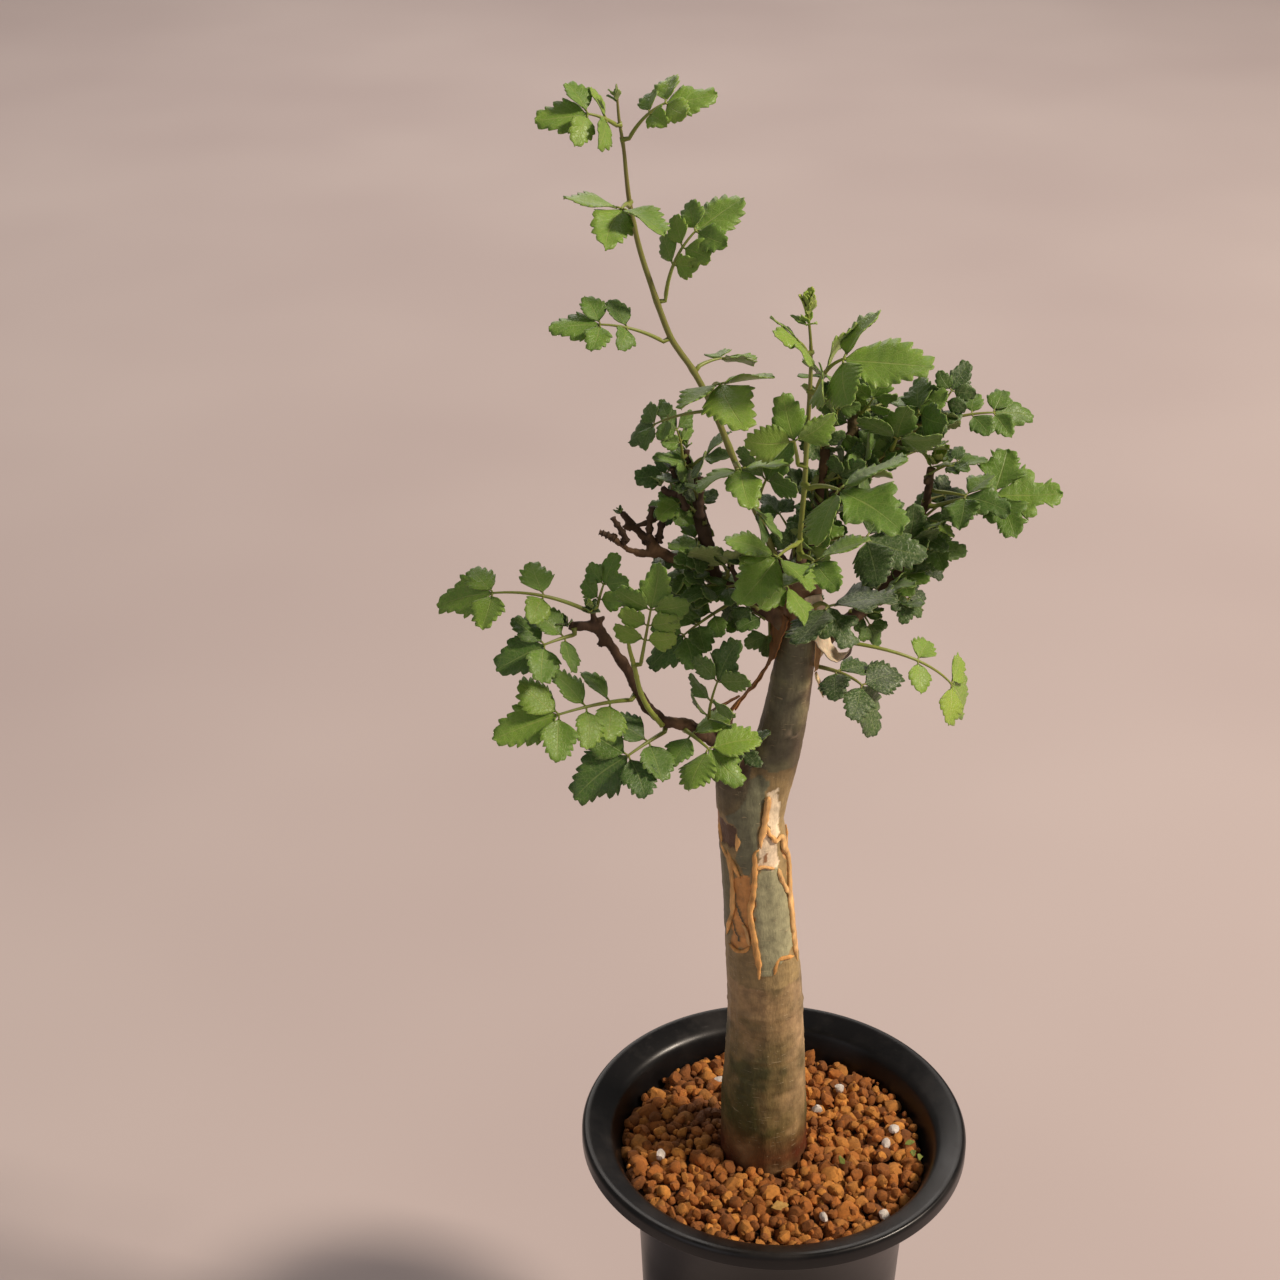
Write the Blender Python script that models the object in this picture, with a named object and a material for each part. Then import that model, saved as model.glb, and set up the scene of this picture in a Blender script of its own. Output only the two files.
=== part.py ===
"""A small thick-stemmed tree with peeling bark, growing in a flared pot of clay granules.

All sizes are in millimetres and become metres when a mesh is made. The pot stands on z = 0 with its axis
on the Z axis, and -Y is the front. The tree is drawn in its own plan, whose z = 0 is the soil's surface.
"""

import math

import bmesh
import bpy
import numpy as np
from mathutils import Matrix

MM = 0.001

# Pot
POT_HEIGHT = 120.0
MOUTH_RADIUS = 44.4  # edge of the opening, at the inner end of the flange
RIM_WIDTH = 8.1  # the flange, from the opening to the outer edge of the lip
RIM_DISH = 2.9  # how far the flange falls towards the opening
LIP_DEPTH = 4.4  # the rolled lip, from its crest to its lower edge
WALL = 1.2
FUNNEL_IN = 9.1  # how much narrower the inside is below the funnel than at the opening
FUNNEL_DEPTH = 40.0
DRAFT = 0.043  # loss of radius for each millimetre down the body
FLOOR_THICKNESS = 1.8
FOOT_HEIGHT = 2.2
FOOT_WIDTH = 3.5
HUB_RADIUS = 9.0  # solid disc in the middle of the underside, level with the foot
SLOT_WIDTH = 3.0
SLOT_COUNT = 8
SLOT_SHARE = 0.6  # length of a slot, as a share of the floor between the hub and the foot
EDGE_CUT = 0.6  # chamfer at the foot's outer edge
RIB_TAPER = 0.4  # how much narrower the foot and the hub are at the table than at the floor
POT_STEPS = 48

# Soil
FILL_DROP = 8.0  # soil's surface below the lip's crest
SOIL_BUMP = 0.7
SOIL_DIP = 1.2  # how much lower the soil lies at the pot's wall
SOIL_RINGS = 10

# Tree
TREE_HEIGHT = 294.0  # soil's surface to the tip of the tallest shoot
PLAN_HEIGHT = 294.0  # the same height as the plans below are drawn
ROOT_DEPTH = 44.0
ROOT_TAPER = [(1.0, 0.25), (0.86, 0.52), (0.62, 0.78), (0.36, 0.95), (0.14, 1.03)]  # shares of depth, radius
TRUNK_RADIUS = 11.8  # where the trunk leaves the soil
PLAN_TRUNK_RADIUS = 11.8  # the same radius as the loose bark's plan is drawn for
LEAF_THICKNESS = 0.7
BARK_THICKNESS = 0.5
STALK_WIDTH = 1.0
END_LEAFLET = 1.45  # length of the end leaflet, as a share of a side leaflet's
LEAF_DISH = 0.12  # how far a leaf's edge stands above its midline, as a share of its half-width

GAP = 0.35  # between pieces that touch

growth = TREE_HEIGHT / PLAN_HEIGHT
soil_level = POT_HEIGHT - FILL_DROP

# Trunk and limbs, as (x, y, z, radius). Each limb starts inside the one that bears it. The trunk's
# radii are shares of TRUNK_RADIUS, and those of the other limbs are in millimetres.
TRUNK = [
    (-2.5, 0.5, 0, 1.0),
    (-2.7, 0.5, 9, 0.99),
    (-3.0, 0.4, 22, 0.96),
    (-3.1, 0.3, 43, 0.87),
    (-4.3, 0.2, 62, 0.82),
    (-5.8, 0.0, 81, 0.78),
    (-7.4, -0.2, 97, 0.74),
    (-9.0, -0.5, 109, 0.71),
    (-10.8, -0.8, 118, 0.60),
    (-13.4, -1.5, 126, 0.42),
    (-16.0, -3.5, 134, 0.25),
    (-17.5, -4.5, 141, 0.17),
]
WOOD = {
    "stem": [
        (-8.0, -0.4, 106, 7.6),
        (-5.8, -0.2, 115, 7.0),
        (-3.4, 0.0, 123, 6.2),
        (-1.8, 0.0, 131, 5.8),
        (-0.2, 0.0, 141, 5.5),
        (1.2, 0.3, 152, 5.0),
        (2.4, 0.6, 163, 4.8),
        (2.6, 1.0, 171, 4.6),
        (3.2, 1.6, 180, 4.0),
        (5.0, 2.6, 187, 2.8),
    ],
    "low_limb": [
        (-14.5, -2.5, 129, 2.2),
        (-18.9, -5.0, 133, 1.9),
        (-25.4, -8.0, 139, 1.6),
        (-31.0, -10.0, 141, 1.5),
        (-35.4, -11.0, 146, 1.4),
        (-39.7, -12.0, 156.5, 1.3),
        (-43.2, -13.0, 163, 1.2),
        (-47.0, -14.0, 169, 1.5),
        (-53.2, -15.0, 170, 1.1),
    ],
    "dark_limb": [
        (1.5, 0.6, 160, 3.4),
        (-4.0, 0.4, 165.5, 2.9),
        (-11.3, 2.0, 170, 2.4),
        (-17.8, 3.0, 173, 2.1),
        (-24.6, 4.0, 177, 1.7),
        (-29.9, 5.0, 178, 1.5),
        (-33.0, 5.0, 180.5, 1.3),
        (-37.1, 6.0, 184.5, 1.1),
        (-41.1, 7.0, 189, 0.8),
    ],
    "dark_twig": [
        (-31.0, 5.0, 178.6, 1.0),
        (-36.6, 3.0, 180, 0.9),
        (-39.5, 2.0, 181.5, 0.8),
        (-43.2, 0.0, 185.5, 0.7),
    ],
    "cut_twig": [
        (-22.5, 3.8, 176, 1.0),
        (-24.2, 4.0, 178.5, 0.9),
        (-26.2, 3.0, 182.5, 0.8),
    ],
    "rising_limb": [
        (-18.8, 3.2, 173.5, 1.7),
        (-20.3, 5.0, 180.5, 1.8),
        (-21.3, 6.0, 184.5, 1.9),
        (-22.5, 7.0, 188, 1.9),
        (-23.7, 8.0, 194, 1.4),
        (-25.2, 9.0, 200, 1.1),
        (-25.7, 10.0, 204, 0.9),
    ],
    "rising_stub": [
        (-22.0, 6.8, 187, 1.6),
        (-25.1, 7.0, 189.5, 1.5),
        (-29.0, 8.0, 192.5, 1.3),
        (-31.4, 9.0, 194.5, 0.9),
    ],
    "leader_spur": [
        (2.0, 0.2, 174, 2.6),
        (-2.2, -1.4, 178.5, 2.0),
        (-4.6, -2.2, 182, 1.7),
    ],
    "right_limb": [
        (2.0, 0.5, 150, 3.4),
        (8.0, 2.5, 156.5, 2.2),
        (14.8, 6.0, 160.5, 1.9),
        (22.1, 9.0, 165.5, 1.7),
        (25.2, 10.0, 169, 1.6),
        (27.7, 11.0, 174, 1.5),
        (30.7, 12.0, 183, 1.3),
        (32.5, 12.0, 190, 1.1),
        (33.3, 13.0, 198, 1.0),
    ],
    "upper_limb": [
        (4.0, 2.2, 183, 2.4),
        (6.4, 3.4, 188.5, 2.1),
        (11.6, 5.0, 194, 1.8),
        (15.8, 5.0, 199, 1.7),
        (21.0, 5.0, 203.5, 1.7),
        (25.9, 5.0, 208.5, 1.2),
        (29.9, 5.0, 213, 1.0),
        (33.9, 5.0, 218.5, 0.9),
    ],
    "middle_limb": [
        (9.0, 4.4, 191, 1.6),
        (12.4, 7.0, 198, 1.6),
        (13.5, 8.0, 203, 1.5),
        (13.5, 8.0, 210, 1.4),
        (12.9, 8.0, 217, 1.1),
        (12.8, 8.0, 224, 0.9),
    ],
    "crown_stub": [
        (4.6, 2.3, 184, 1.6),
        (5.4, 1.8, 192, 1.3),
        (6.1, 1.8, 200, 1.1),
        (6.5, 2.0, 207, 1.3),
        (6.9, 2.0, 216, 0.8),
    ],
    "front_spur": [
        (2.6, 0.4, 176, 2.4),
        (1.6, -4.6, 180.5, 1.5),
        (0.8, -8.0, 184, 1.2),
    ],
    "knob": [
        (-45.5, -13.7, 167.5, 1.1),
        (-47.4, -14.2, 171.5, 0.9),
        (-48.0, -14.5, 174.5, 0.6),
    ],
}

# Green shoots, which start just off the end of a limb.
SHOOTS = {
    "leader_shoot": [
        (-4.9, -2.3, 182.4, 1.05),
        (-8.4, -3.0, 191.5, 1.0),
        (-12.2, -3.0, 200.5, 0.95),
        (-15.8, -3.0, 209.5, 0.95),
        (-20.7, -4.0, 222, 0.95),
        (-25.3, -5.0, 231, 0.9),
        (-29.9, -6.0, 238.5, 0.9),
        (-34.4, -8.0, 252, 0.8),
        (-37.0, -9.0, 261, 0.75),
        (-39.0, -10.0, 271.5, 0.65),
        (-40.0, -11.0, 282, 0.5),
        (-41.0, -12.0, 289, 0.42),
        (-41.4, -12.0, 294, 0.3),
    ],
    "front_shoot": [
        (0.7, -8.3, 184.3, 0.8),
        (0.3, -12.5, 191, 0.75),
        (0.4, -14.5, 198, 0.75),
        (0.7, -16.0, 208, 0.75),
        (0.7, -17.0, 219, 0.7),
        (0.9, -18.0, 231.5, 0.6),
        (0.7, -18.0, 241, 0.45),
        (-0.2, -18.0, 248.5, 0.35),
    ],
    "low_shoot": [
        (-32.3, -12.7, 142.9, 0.8),
        (-34.7, -14.2, 147.3, 0.78),
        (-36.6, -15.4, 152.6, 0.75),
        (-37.8, -16.2, 159.0, 0.7),
        (-39.0, -16.2, 164.0, 0.6),
        (-39.4, -16.2, 166.6, 0.45),
    ],
}

# Loose bark, as (angle round the trunk from the front, height, stand-off from the wood, half-width).
# A negative angle is to the left. It hangs from the trunk or, where named so, from the upper stem. Where a
# second limb is named, the strip hangs in the room between the two, and its stand-off follows that room.
BARK = {
    "bark_strip_1": (
        "trunk",
        None,
        [
            (10, 103, 0, 1.2),
            (0, 95, 0.3, 1.0),
            (-14, 86, 0.8, 0.9),
            (-4, 76, 0.6, 0.9),
            (2, 64, 1.6, 0.6),
        ],
    ),
    "bark_strip_2": (
        "trunk",
        None,
        [
            (66, 101, 0, 1.5),
            (70, 92, 0.6, 1.3),
            (68, 83, 1.2, 1.0),
            (72, 74, 1.4, 0.8),
            (74, 65, 2.2, 0.5),
        ],
    ),
    "bark_strip_3": (
        "trunk",
        None,
        [
            (-64, 112, 0, 1.2),
            (-40, 109, 1.0, 0.9),
            (-26, 105, 1.2, 0.8),
            (-32, 101, 1.8, 0.6),
        ],
    ),
    "bark_strip_4": (
        "stem",
        "trunk",
        [
            (-82, 159, 0, 2.0),
            (-88, 152, 0.4, 1.3),
            (-80, 146, 3.0, 1.0),
            (-84, 142, 6.4, 0.8),
            (-80, 138, 7.6, 0.6),
        ],
    ),
    "bark_curl": (
        "stem",
        None,
        [
            (25, 168, 0, 2.4),
            (42, 162, 0.8, 2.2),
            (60, 157, 3.2, 2.0),
            (66, 155.5, 6.0, 1.9),
            (68, 158, 8.4, 1.6),
        ],
    ),
}

# Leaves, as (name, stem, place along it, reach from foot to tip, arch, way the blade faces, leaflet pairs,
# leaflet length, bare share of the stalk).
LEAVES = [
    ("leader_leaf_1", "leader_shoot", 0.845, (-19, -6, 14), 8, (0, -6, 10), 2, 7, 0.34),
    ("leader_leaf_2", "leader_shoot", 0.92, (20, 1.0, 8), 5, (0, -4, 10), 2, 7, 0.26),
    ("leader_leaf_3", "leader_shoot", 0.8, (-5, -23, -3.7), 4, (0, -8, 7), 1, 11, 0.50),
    ("leader_leaf_4", "leader_shoot", 0.59, (19, 5, 22), 7, (-6, -6, 5), 3, 8, 0.17),
    ("leader_leaf_5", "leader_shoot", 0.515, (-27, -6, 3.9), 4, (0, -6, 10), 2, 7.5, 0.35),
    ("leader_leaf_6", "leader_shoot", 0.43, (14, 9, -2.5), 2, (0, 3, 9), 1, 8, 0.30),
    ("leader_leaf_7", "leader_shoot", 0.37, (7, -29, 3.8), 7, (0, -6, 9), 1, 10.5, 0.40),
    ("leader_leaf_8", "leader_shoot", 0.34, (-19, 6, -11), 3, (0, -6, 10), 2, 6, 0.40),
    ("leader_leaf_9", "leader_shoot", 0.22, (3, -21, -3), 4, (0, -7, 6), 1, 11, 0.60),
    ("leader_leaf_10", "leader_shoot", 0.13, (8, -8, 18), 2, (0, -7, 8), 1, 9, 0.30),
    ("leader_leaf_11", "leader_shoot", 0.06, (-8, -13, 11), 2, (0, -6, 8), 1, 9, 0.30),
    ("upper_left_leaf_1", "rising_limb", 0.94, (-6, -3, 16), 2, (3, -6, 7), 2, 5.5, 0.28),
    ("upper_left_leaf_2", "rising_limb", 0.80, (-3, -10, 0), 1, (0, -6, 10), 1, 4.5, 0.30),
    ("upper_left_leaf_3", "rising_limb", 0.88, (10, -9, 6), 2, (0, -6, 10), 1, 8, 0.30),
    ("upper_left_leaf_4", "rising_stub", 0.85, (-3, 6, 7), 1, (0, -6, 10), 1, 4, 0.30),
    ("dark_limb_leaf_2", "dark_limb", 0.34, (-22, -10, -16), 2, (-4, -6, 7), 3, 7.75, 0.16),
    ("dark_limb_leaf_3", "dark_limb", 0.42, (2, -13, 16), 3, (0, -9, 4), 1, 9, 0.30),
    ("crown_leaf_1", "stem", 0.86, (-12, -18, -1), 3, (0, -8, 6), 1, 11, 0.30),
    ("crown_leaf_2", "front_shoot", 0.12, (-15, -20, -7), 5, (0, -7, 8), 1, 11, 0.40),
    ("crown_leaf_3", "front_shoot", 0.05, (8, -18, -2), 3, (0, -7, 8), 1, 12, 0.40),
    ("crown_leaf_4", "stem", 0.78, (10, -19, -4), 6, (2, -8, 6), 1, 12, 0.30),
    ("right_leaf_1", "upper_limb", 0.05, (26, -9, -2.0), 4, (0, -6, 10), 1, 12, 0.40),
    ("right_leaf_2", "right_limb", 0.62, (0.4, -6, 17), 2, (2, -8, 4), 1, 8, 0.30),
    ("right_leaf_3", "right_limb", 0.2, (35, 10, -29), 10, (4, -6, 8), 2, 9, 0.40),
    ("right_leaf_4", "right_limb", 0.85, (32, -4.0, 4), 3, (0, -6, 10), 1, 11, 0.45),
    ("right_leaf_5", "right_limb", 0.91, (18, -12, -1), 2, (0, -6, 10), 1, 9, 0.30),
    ("right_leaf_6", "right_limb", 0.79, (7, -9, -1), 2, (4, -6, 5), 1, 6, 0.40),
    ("stem_leaf", "stem", 0.57, (17, -6, -17), 9, (8, -6, 5), 1, 9, 0.30),
    ("upper_right_leaf_1", "upper_limb", 0.88, (25, 3.0, -0.9), 3, (0, -6, 10), 2, 7, 0.35),
    ("upper_right_leaf_2", "upper_limb", 0.77, (7, -3.0, 12), 2, (0, -3, 9), 1, 9, 0.35),
    ("upper_right_leaf_3", "upper_limb", 0.65, (1, -11, 16), 2, (0, -9, 4), 1, 10, 0.20),
    ("upper_right_leaf_4", "upper_limb", 0.61, (15, 7, -1), 1, (0, 3, 9), 1, 9, 0.35),
    ("upper_right_leaf_5", "upper_limb", 0.48, (-7, -12, 8), 2, (0, -8, 5), 1, 9, 0.20),
    ("middle_leaf_1", "middle_limb", 0.93, (-13, -4, 4), 1, (0, 2, 10), 1, 7, 0.40),
    ("middle_leaf_2", "middle_limb", 0.72, (7, -6, 13), 2, (3, -6, 7), 2, 5.5, 0.22),
    ("middle_leaf_3", "middle_limb", 0.68, (18, 9, 0), 2, (0, 2, 10), 1, 8, 0.40),
    ("front_leaf_1", "front_shoot", 0.72, (25, -16, 10), 10, (0, -6, 9), 2, 11.5, 0.16),
    ("front_leaf_2", "front_shoot", 0.86, (-9, -10, 7), 2, (0, -5, 9), 1, 8, 0.30),
    ("front_leaf_3", "front_shoot", 0.44, (-6, -1, 18), 3, (0, -8, 5), 1, 10, 0.35),
    ("front_leaf_4", "front_shoot", 0.36, (20, -25, -1), 6, (0, -7, 8), 1, 14, 0.40),
    ("low_leaf_1", "knob", 0.97, (-36, -2.0, 1.4), 7, (0, -6, 10), 2, 9, 0.28),
    ("low_leaf_2", "low_limb", 0.98, (-18, -9, -7), 4, (0, -8, 7), 2, 7.75, 0.16),
    ("low_leaf_3", "low_limb", 0.53, (-34, -20, -0.5), 6.5, (0, -8, 7), 3, 10.5, 0.18),
    ("low_leaf_4", "low_limb", 0.34, (-22, -11, -15), 6, (-1, -8, 6), 2, 10.75, 0.16),
    ("low_leaf_5", "low_limb", 0.17, (8, -8, 30), 4, (-5, -8, 2), 3, 7, 0.18),
    ("low_leaf_6", "low_shoot", 0.74, (6, -4.0, 29), 3, (0, -8, 5), 3, 8, 0.18),
    ("low_leaf_7", "low_limb", 0.27, (14, -14, -9), 3, (0, -7, 8), 1, 8.5, 0.30),
    ("low_leaf_8", "trunk", 0.93, (8, -12, -0.3), 2, (0, -7, 8), 1, 6, 0.30),
    ("low_leaf_9", "knob", 0.9, (6, 6, 12), 1, (-4, -6, 7), 1, 6, 0.30),
]


def clear_scene():
    for thing in list(bpy.data.objects):
        bpy.data.objects.remove(thing, do_unlink=True)


def material(name, colour, roughness):
    """A Principled BSDF with an sRGB colour from 0 to 1, given in linear light."""
    made = bpy.data.materials.new(name)
    made.use_nodes = True
    shader = made.node_tree.nodes["Principled BSDF"]
    linear = [((c + 0.055) / 1.055) ** 2.4 for c in colour]
    shader.inputs["Base Color"].default_value = (*linear, 1.0)
    shader.inputs["Roughness"].default_value = roughness
    shader.inputs["Metallic"].default_value = 0.0
    return made


def object_from(name, shape, finish, helper=False):
    """Turns a bmesh drawn in millimetres into a named object in metres."""
    bmesh.ops.scale(shape, vec=(MM, MM, MM), verts=shape.verts)
    mesh = bpy.data.meshes.new(name)
    shape.to_mesh(mesh)
    shape.free()
    mesh.materials.append(finish)
    mesh.shade_smooth()
    mesh.set_sharp_from_angle(angle=math.radians(40))
    made = bpy.data.objects.new(name, mesh)
    bpy.context.scene.collection.objects.link(made)
    if helper:
        made.hide_render = True
        made.display_type = "WIRE"
    return made


def boolean(target, cutter, operation):
    modifier = target.modifiers.new(cutter.name, "BOOLEAN")
    modifier.operation = operation
    modifier.solver = "EXACT"
    modifier.object = cutter


def inner_radius(z):
    """Inner radius of the pot at a height: a funnel under the opening, then the body's draft."""
    depth = POT_HEIGHT - z
    below_funnel = MOUTH_RADIUS - FUNNEL_IN
    if depth >= FUNNEL_DEPTH:
        return below_funnel - DRAFT * (depth - FUNNEL_DEPTH)
    share = max(0.0, (depth - RIM_DISH) / (FUNNEL_DEPTH - RIM_DISH))
    return below_funnel + FUNNEL_IN * (1.0 - share) ** 1.7


def pot_profile():
    """Half section of the pot, from its axis on the floor, up the inside and down the outside."""
    rim_radius = MOUTH_RADIUS + RIM_WIDTH
    floor_z = FOOT_HEIGHT + FLOOR_THICKNESS
    funnel_foot = POT_HEIGHT - FUNNEL_DEPTH
    base_radius = inner_radius(0) + WALL
    channel_out = base_radius - FOOT_WIDTH
    heights = [POT_HEIGHT - RIM_DISH - share * (FUNNEL_DEPTH - RIM_DISH) for share in (0.14, 0.4, 0.7, 1.0)]
    points = [(0, floor_z), (inner_radius(floor_z), floor_z)]
    points += [(inner_radius(z), z) for z in reversed(heights)]
    points += [
        (MOUTH_RADIUS, POT_HEIGHT - RIM_DISH),
        (MOUTH_RADIUS + 0.18 * RIM_WIDTH, POT_HEIGHT - 0.7 * RIM_DISH),
        (MOUTH_RADIUS + 0.55 * RIM_WIDTH, POT_HEIGHT - 0.3 * RIM_DISH),
        (rim_radius - WALL, POT_HEIGHT),
        (rim_radius - 0.35 * WALL, POT_HEIGHT - 0.3 * WALL),
        (rim_radius, POT_HEIGHT - WALL),
        (rim_radius, POT_HEIGHT - LIP_DEPTH + 0.3 * WALL),
        (rim_radius - 0.3 * WALL, POT_HEIGHT - LIP_DEPTH),
        (rim_radius - WALL, POT_HEIGHT - LIP_DEPTH),
        (rim_radius - 1.3 * WALL, POT_HEIGHT - 1.6 * WALL),
        (MOUTH_RADIUS + 0.5 * RIM_WIDTH, POT_HEIGHT - 0.35 * RIM_DISH - WALL),
        (MOUTH_RADIUS + 0.8 * WALL, POT_HEIGHT - RIM_DISH - WALL),
    ]
    points += [(inner_radius(z) + WALL, z) for z in heights[1:]]
    points += [
        (inner_radius(0.5 * funnel_foot) + WALL, 0.5 * funnel_foot),
        (base_radius, EDGE_CUT),
        (base_radius - EDGE_CUT, 0),
        (channel_out, 0),
        (channel_out - RIB_TAPER, FOOT_HEIGHT),
        (HUB_RADIUS + RIB_TAPER, FOOT_HEIGHT),
        (HUB_RADIUS, 0),
        (0, 0),
    ]
    return points


def make_pot(finish):
    """The section turned about Z by a Screw, with radial drain slots cut through the channel's floor."""
    shape = bmesh.new()
    verts = [shape.verts.new((r, 0, z)) for r, z in pot_profile()]
    for first, second in zip(verts, verts[1:]):
        shape.edges.new((first, second))
    pot = object_from("pot", shape, finish)
    turn = pot.modifiers.new("turn", "SCREW")
    turn.steps = POT_STEPS
    turn.render_steps = POT_STEPS
    turn.use_merge_vertices = True
    turn.merge_threshold = 0.00001
    turn.use_smooth_shade = True
    channel_out = inner_radius(0) + WALL - FOOT_WIDTH
    slot_length = (channel_out - HUB_RADIUS) * SLOT_SHARE
    slot_centre = (channel_out + HUB_RADIUS) / 2
    slots = bmesh.new()
    for index in range(SLOT_COUNT):
        angle = 2 * math.pi * (index + 0.5) / SLOT_COUNT
        made = bmesh.ops.create_cube(slots, size=1.0)["verts"]
        bmesh.ops.scale(slots, vec=(slot_length, SLOT_WIDTH, 4 * FLOOR_THICKNESS), verts=made)
        bmesh.ops.translate(slots, vec=(slot_centre, 0, FOOT_HEIGHT), verts=made)
        bmesh.ops.rotate(slots, cent=(0, 0, 0), matrix=Matrix.Rotation(angle, 3, "Z"), verts=made)
    cutter = object_from("drain_slot_cutter", slots, finish, helper=True)
    boolean(pot, cutter, "DIFFERENCE")
    return pot


def smooth_path(points, steps):
    """Catmull-Rom curve through points, with `steps` pieces between each two."""
    points = np.asarray(points, float)
    padded = np.vstack([2 * points[0] - points[1], points, 2 * points[-1] - points[-2]])
    made = []
    for index in range(1, len(padded) - 2):
        before, start, end, after = padded[index - 1 : index + 3]
        for t in np.arange(steps) / steps:
            made.append(
                0.5
                * (
                    2 * start
                    + (end - before) * t
                    + (2 * before - 5 * start + 4 * end - after) * t * t
                    + (3 * start - before - 3 * end + after) * t**3
                )
            )
    made.append(points[-1])
    return np.array(made)


def add_tube(shape, path, radii, sides):
    """A closed tube round a path. Each ring's frame is carried from the one before, so it doesn't twist."""
    tangents = np.gradient(path, axis=0)
    tangents /= np.linalg.norm(tangents, axis=1)[:, None]
    across = np.cross(tangents[0], (0.0, 1.0, 0.1))
    rings = []
    for centre, tangent, radius in zip(path, tangents, radii):
        across = across - tangent * (across @ tangent)
        across /= np.linalg.norm(across)
        other = np.cross(tangent, across)
        ring = []
        for side in range(sides):
            angle = 2 * math.pi * side / sides
            spot = centre + radius * (math.cos(angle) * across + math.sin(angle) * other)
            ring.append(shape.verts.new(spot))
        rings.append(ring)
    for lower, upper in zip(rings, rings[1:]):
        for side in range(sides):
            after = (side + 1) % sides
            shape.faces.new((lower[side], lower[after], upper[after], upper[side]))
    shape.faces.new(list(reversed(rings[0])))
    shape.faces.new(rings[-1])


def tree_point(x, y, z):
    """A point of the tree's plan, grown to TREE_HEIGHT and stood on the soil."""
    return (x * growth, y * growth, z * growth + soil_level)


def root_rows(spare):
    """The buried stock below the trunk's foot, as (x, y, z, radius), grown outwards by `spare`."""
    x, y = TRUNK[0][0] * growth, TRUNK[0][1] * growth
    made = []
    for depth, share in ROOT_TAPER:
        made.append((x, y, soil_level - depth * ROOT_DEPTH, share * TRUNK_RADIUS + spare))
    made[0] = (x, y, soil_level - ROOT_DEPTH - spare, made[0][3])
    return made


def trunk_rows():
    above = [(*tree_point(x, y, z), share * TRUNK_RADIUS) for x, y, z, share in TRUNK]
    return root_rows(0.0) + above


def limb_rows(name):
    if name == "trunk":
        return [(*tree_point(x, y, z), share * TRUNK_RADIUS) for x, y, z, share in TRUNK]
    rows = WOOD.get(name) or SHOOTS[name]
    return [(*tree_point(x, y, z), radius * growth) for x, y, z, radius in rows]


def make_stem(name, rows, finish, steps, sides, helper=False):
    fine = smooth_path(rows, steps)
    shape = bmesh.new()
    add_tube(shape, fine[:, :3], fine[:, 3], sides)
    return object_from(name, shape, finish, helper)


def make_wood(finish):
    """Trunk and limbs, joined into one grown piece."""
    wood = make_stem("trunk_and_limbs", trunk_rows(), finish, 2, 16)
    for name in WOOD:
        sides = 14 if name == "stem" else 8
        steps = 2 if name == "stem" else 1
        limb = make_stem("grown_" + name, limb_rows(name), finish, steps, sides, helper=True)
        boolean(wood, limb, "UNION")
    return wood


def make_shoots(finish):
    for name in SHOOTS:
        make_stem(name, limb_rows(name), finish, 2, 7)


def make_soil(finish):
    """The fill, one gap inside the pot, with an uneven top and a hole for the root stock."""
    floor_z = FOOT_HEIGHT + FLOOR_THICKNESS + GAP
    funnel_foot = POT_HEIGHT - FUNNEL_DEPTH
    shape = bmesh.new()
    side_heights = [floor_z, funnel_foot, funnel_foot + 0.5 * (soil_level - funnel_foot)]
    rings = []
    for z in side_heights:
        rings.append(soil_ring(shape, inner_radius(z) - 2 * GAP, [z] * POT_STEPS))
    for index in range(SOIL_RINGS):
        share = 1.0 - index / SOIL_RINGS
        edge_z = soil_level - SOIL_DIP - SOIL_BUMP
        radius = (inner_radius(edge_z) - 3 * GAP) * share
        rings.append(soil_ring(shape, radius, [soil_height(radius, side) for side in range(POT_STEPS)]))
    for lower, upper in zip(rings, rings[1:]):
        for side in range(POT_STEPS):
            after = (side + 1) % POT_STEPS
            shape.faces.new((lower[side], lower[after], upper[after], upper[side]))
    shape.faces.new(list(reversed(rings[0])))
    middle = shape.verts.new((0, 0, soil_level))
    for side in range(POT_STEPS):
        shape.faces.new((rings[-1][side], rings[-1][(side + 1) % POT_STEPS], middle))
    soil = object_from("soil", shape, finish)
    cutter_rows = root_rows(GAP)
    for x, y, z, share in TRUNK[:2]:
        cutter_rows.append((*tree_point(x, y, z), share * TRUNK_RADIUS + GAP))
    cutter = make_stem("root_clearance", cutter_rows, finish, 2, 16, helper=True)
    boolean(soil, cutter, "DIFFERENCE")


def soil_ring(shape, radius, heights):
    ring = []
    for side, z in enumerate(heights):
        angle = 2 * math.pi * side / POT_STEPS
        ring.append(shape.verts.new((radius * math.cos(angle), radius * math.sin(angle), z)))
    return ring


def soil_height(radius, side):
    """Waves of two lengths, dying towards the wall, on a surface that dips towards the wall."""
    angle = 2 * math.pi * side / POT_STEPS
    x, y = radius * math.cos(angle), radius * math.sin(angle)
    share = radius / MOUTH_RADIUS
    waves = math.sin(0.42 * x + 1.3) * math.cos(0.37 * y) + 0.5 * math.sin(0.9 * y + 0.6 * x)
    return soil_level - SOIL_DIP * share**2 + 0.6 * SOIL_BUMP * waves * (1 - share**4)


def place_on(rows, height):
    """Centre and radius of a limb at a height."""
    rows = np.array(rows)
    z = tree_point(0, 0, height)[2]
    return [np.interp(z, rows[:, 2], rows[:, column]) for column in (0, 1, 3)]


def plan_rows(name):
    """A limb as the plan draws it, before the tree grows."""
    base = TRUNK if name == "trunk" else WOOD[name]
    size = PLAN_TRUNK_RADIUS if name == "trunk" else 1.0
    return [(x, y, z, radius * size) for x, y, z, radius in base]


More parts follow.
